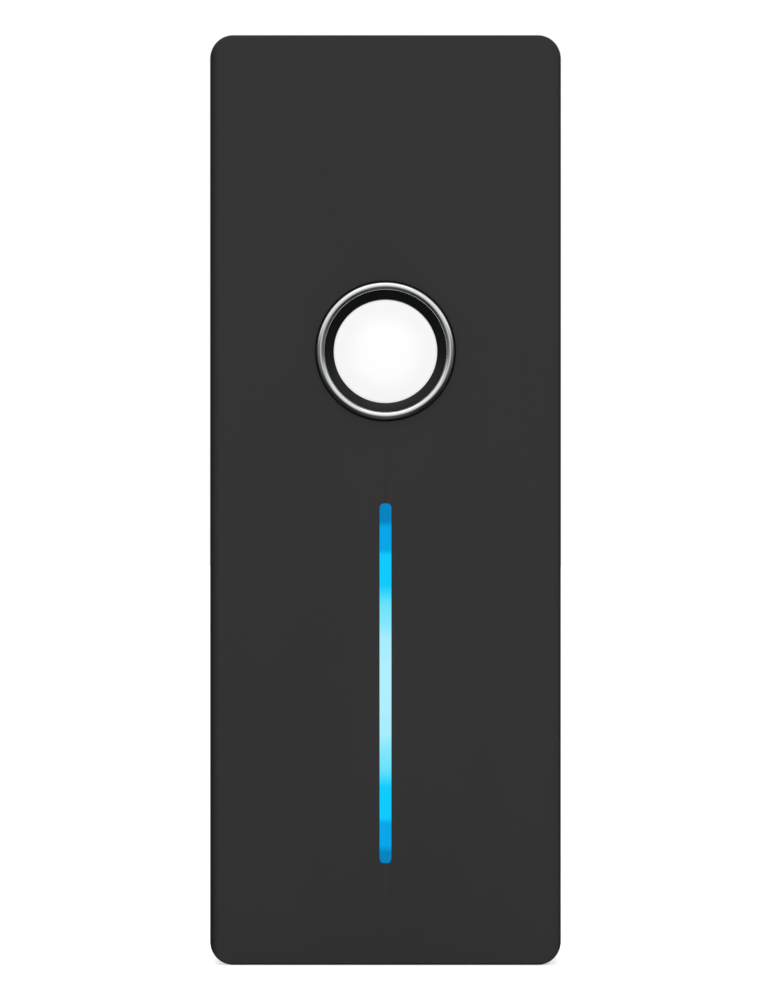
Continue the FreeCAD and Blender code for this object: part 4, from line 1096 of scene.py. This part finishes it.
class DOORBELL_OT_camera_parts(bpy.types.Operator):
    """Finishes of the camera, its bracket and the infrared lamps"""
    bl_idname = "doorbell.camera_parts"
    bl_label = "Camera"
    bl_options = {"REGISTER", "UNDO"}

    def execute(self, context):
        dress(context, "lens_barrel", "lens_front_glass", "lens_rear_glass", "lens_holder",
              "infrared_filter", "image_sensor", "sensor_board", "camera_bracket", "camera_screws",
              "lens_light_seal", "infrared_board", "infrared_leds")
        return {"FINISHED"}


class DOORBELL_OT_electronics(bpy.types.Operator):
    """Finishes of the main board and what it carries"""
    bl_idname = "doorbell.electronics"
    bl_label = "Electronics"
    bl_options = {"REGISTER", "UNDO"}

    def execute(self, context):
        dress(context, "main_board", "main_board_screws", "board_connectors", "processor_chips",
              "processor_shield", "heat_spreader", "wifi_module", "power_capacitors", "power_inductor",
              "backup_cell", "antenna")
        return {"FINISHED"}


class DOORBELL_OT_terminals(bpy.types.Operator):
    """Finishes of the wire terminals and the setup switch"""
    bl_idname = "doorbell.terminals"
    bl_label = "Terminals and setup switch"
    bl_options = {"REGISTER", "UNDO"}

    def execute(self, context):
        dress(context, "terminal_inserts", "terminal_washers", "setup_switch", "setup_plunger")
        return {"FINISHED"}


class DOORBELL_OT_sound(bpy.types.Operator):
    """Finishes of the speaker and microphone"""
    bl_idname = "doorbell.sound"
    bl_label = "Sound"
    bl_options = {"REGISTER", "UNDO"}

    def execute(self, context):
        dress(context, "speaker_frame", "speaker_cone", "speaker_magnet", "speaker_mesh",
              "speaker_gasket", "speaker_leads", "microphone")
        return {"FINISHED"}


OPERATORS = (
    DOORBELL_OT_stage, DOORBELL_OT_front_plate, DOORBELL_OT_trim_ring, DOORBELL_OT_collar,
    DOORBELL_OT_cap, DOORBELL_OT_boot, DOORBELL_OT_light_bar, DOORBELL_OT_latch_coil,
    DOORBELL_OT_rear_screws, DOORBELL_OT_setup_key, DOORBELL_OT_casing, DOORBELL_OT_mounting,
    DOORBELL_OT_lamps, DOORBELL_OT_camera_parts, DOORBELL_OT_electronics, DOORBELL_OT_terminals,
    DOORBELL_OT_sound,
)
GROUPS = {"doorbell_sizes": DoorbellSizes, "doorbell_colours": DoorbellColours,
          "doorbell_studio": DoorbellStudio}


class DOORBELL_PT_pieces(bpy.types.Panel):
    """Buttons for every piece, over the sizes and colours that they use"""
    bl_label = "Video doorbell"
    bl_idname = "DOORBELL_PT_pieces"
    bl_space_type = "VIEW_3D"
    bl_region_type = "UI"
    bl_category = "Doorbell"

    def draw(self, context):
        for operator in OPERATORS:
            self.layout.operator(operator.bl_idname)
        for group, kind in GROUPS.items():
            box = self.layout.box()
            for name in kind.__annotations__:
                box.prop(getattr(context.scene, group), name)


def register():
    for kind in (*GROUPS.values(), *OPERATORS, DOORBELL_PT_pieces):
        bpy.utils.register_class(kind)
    for name, kind in GROUPS.items():
        setattr(bpy.types.Scene, name, PointerProperty(type=kind))


def unregister():
    for name in GROUPS:
        delattr(bpy.types.Scene, name)
    for kind in (DOORBELL_PT_pieces, *reversed(OPERATORS), *GROUPS.values()):
        bpy.utils.unregister_class(kind)


def main():
    register()
    for operator in OPERATORS:
        getattr(bpy.ops.doorbell, operator.bl_idname.split(".")[1])()


if __name__ == "__main__":
    main()
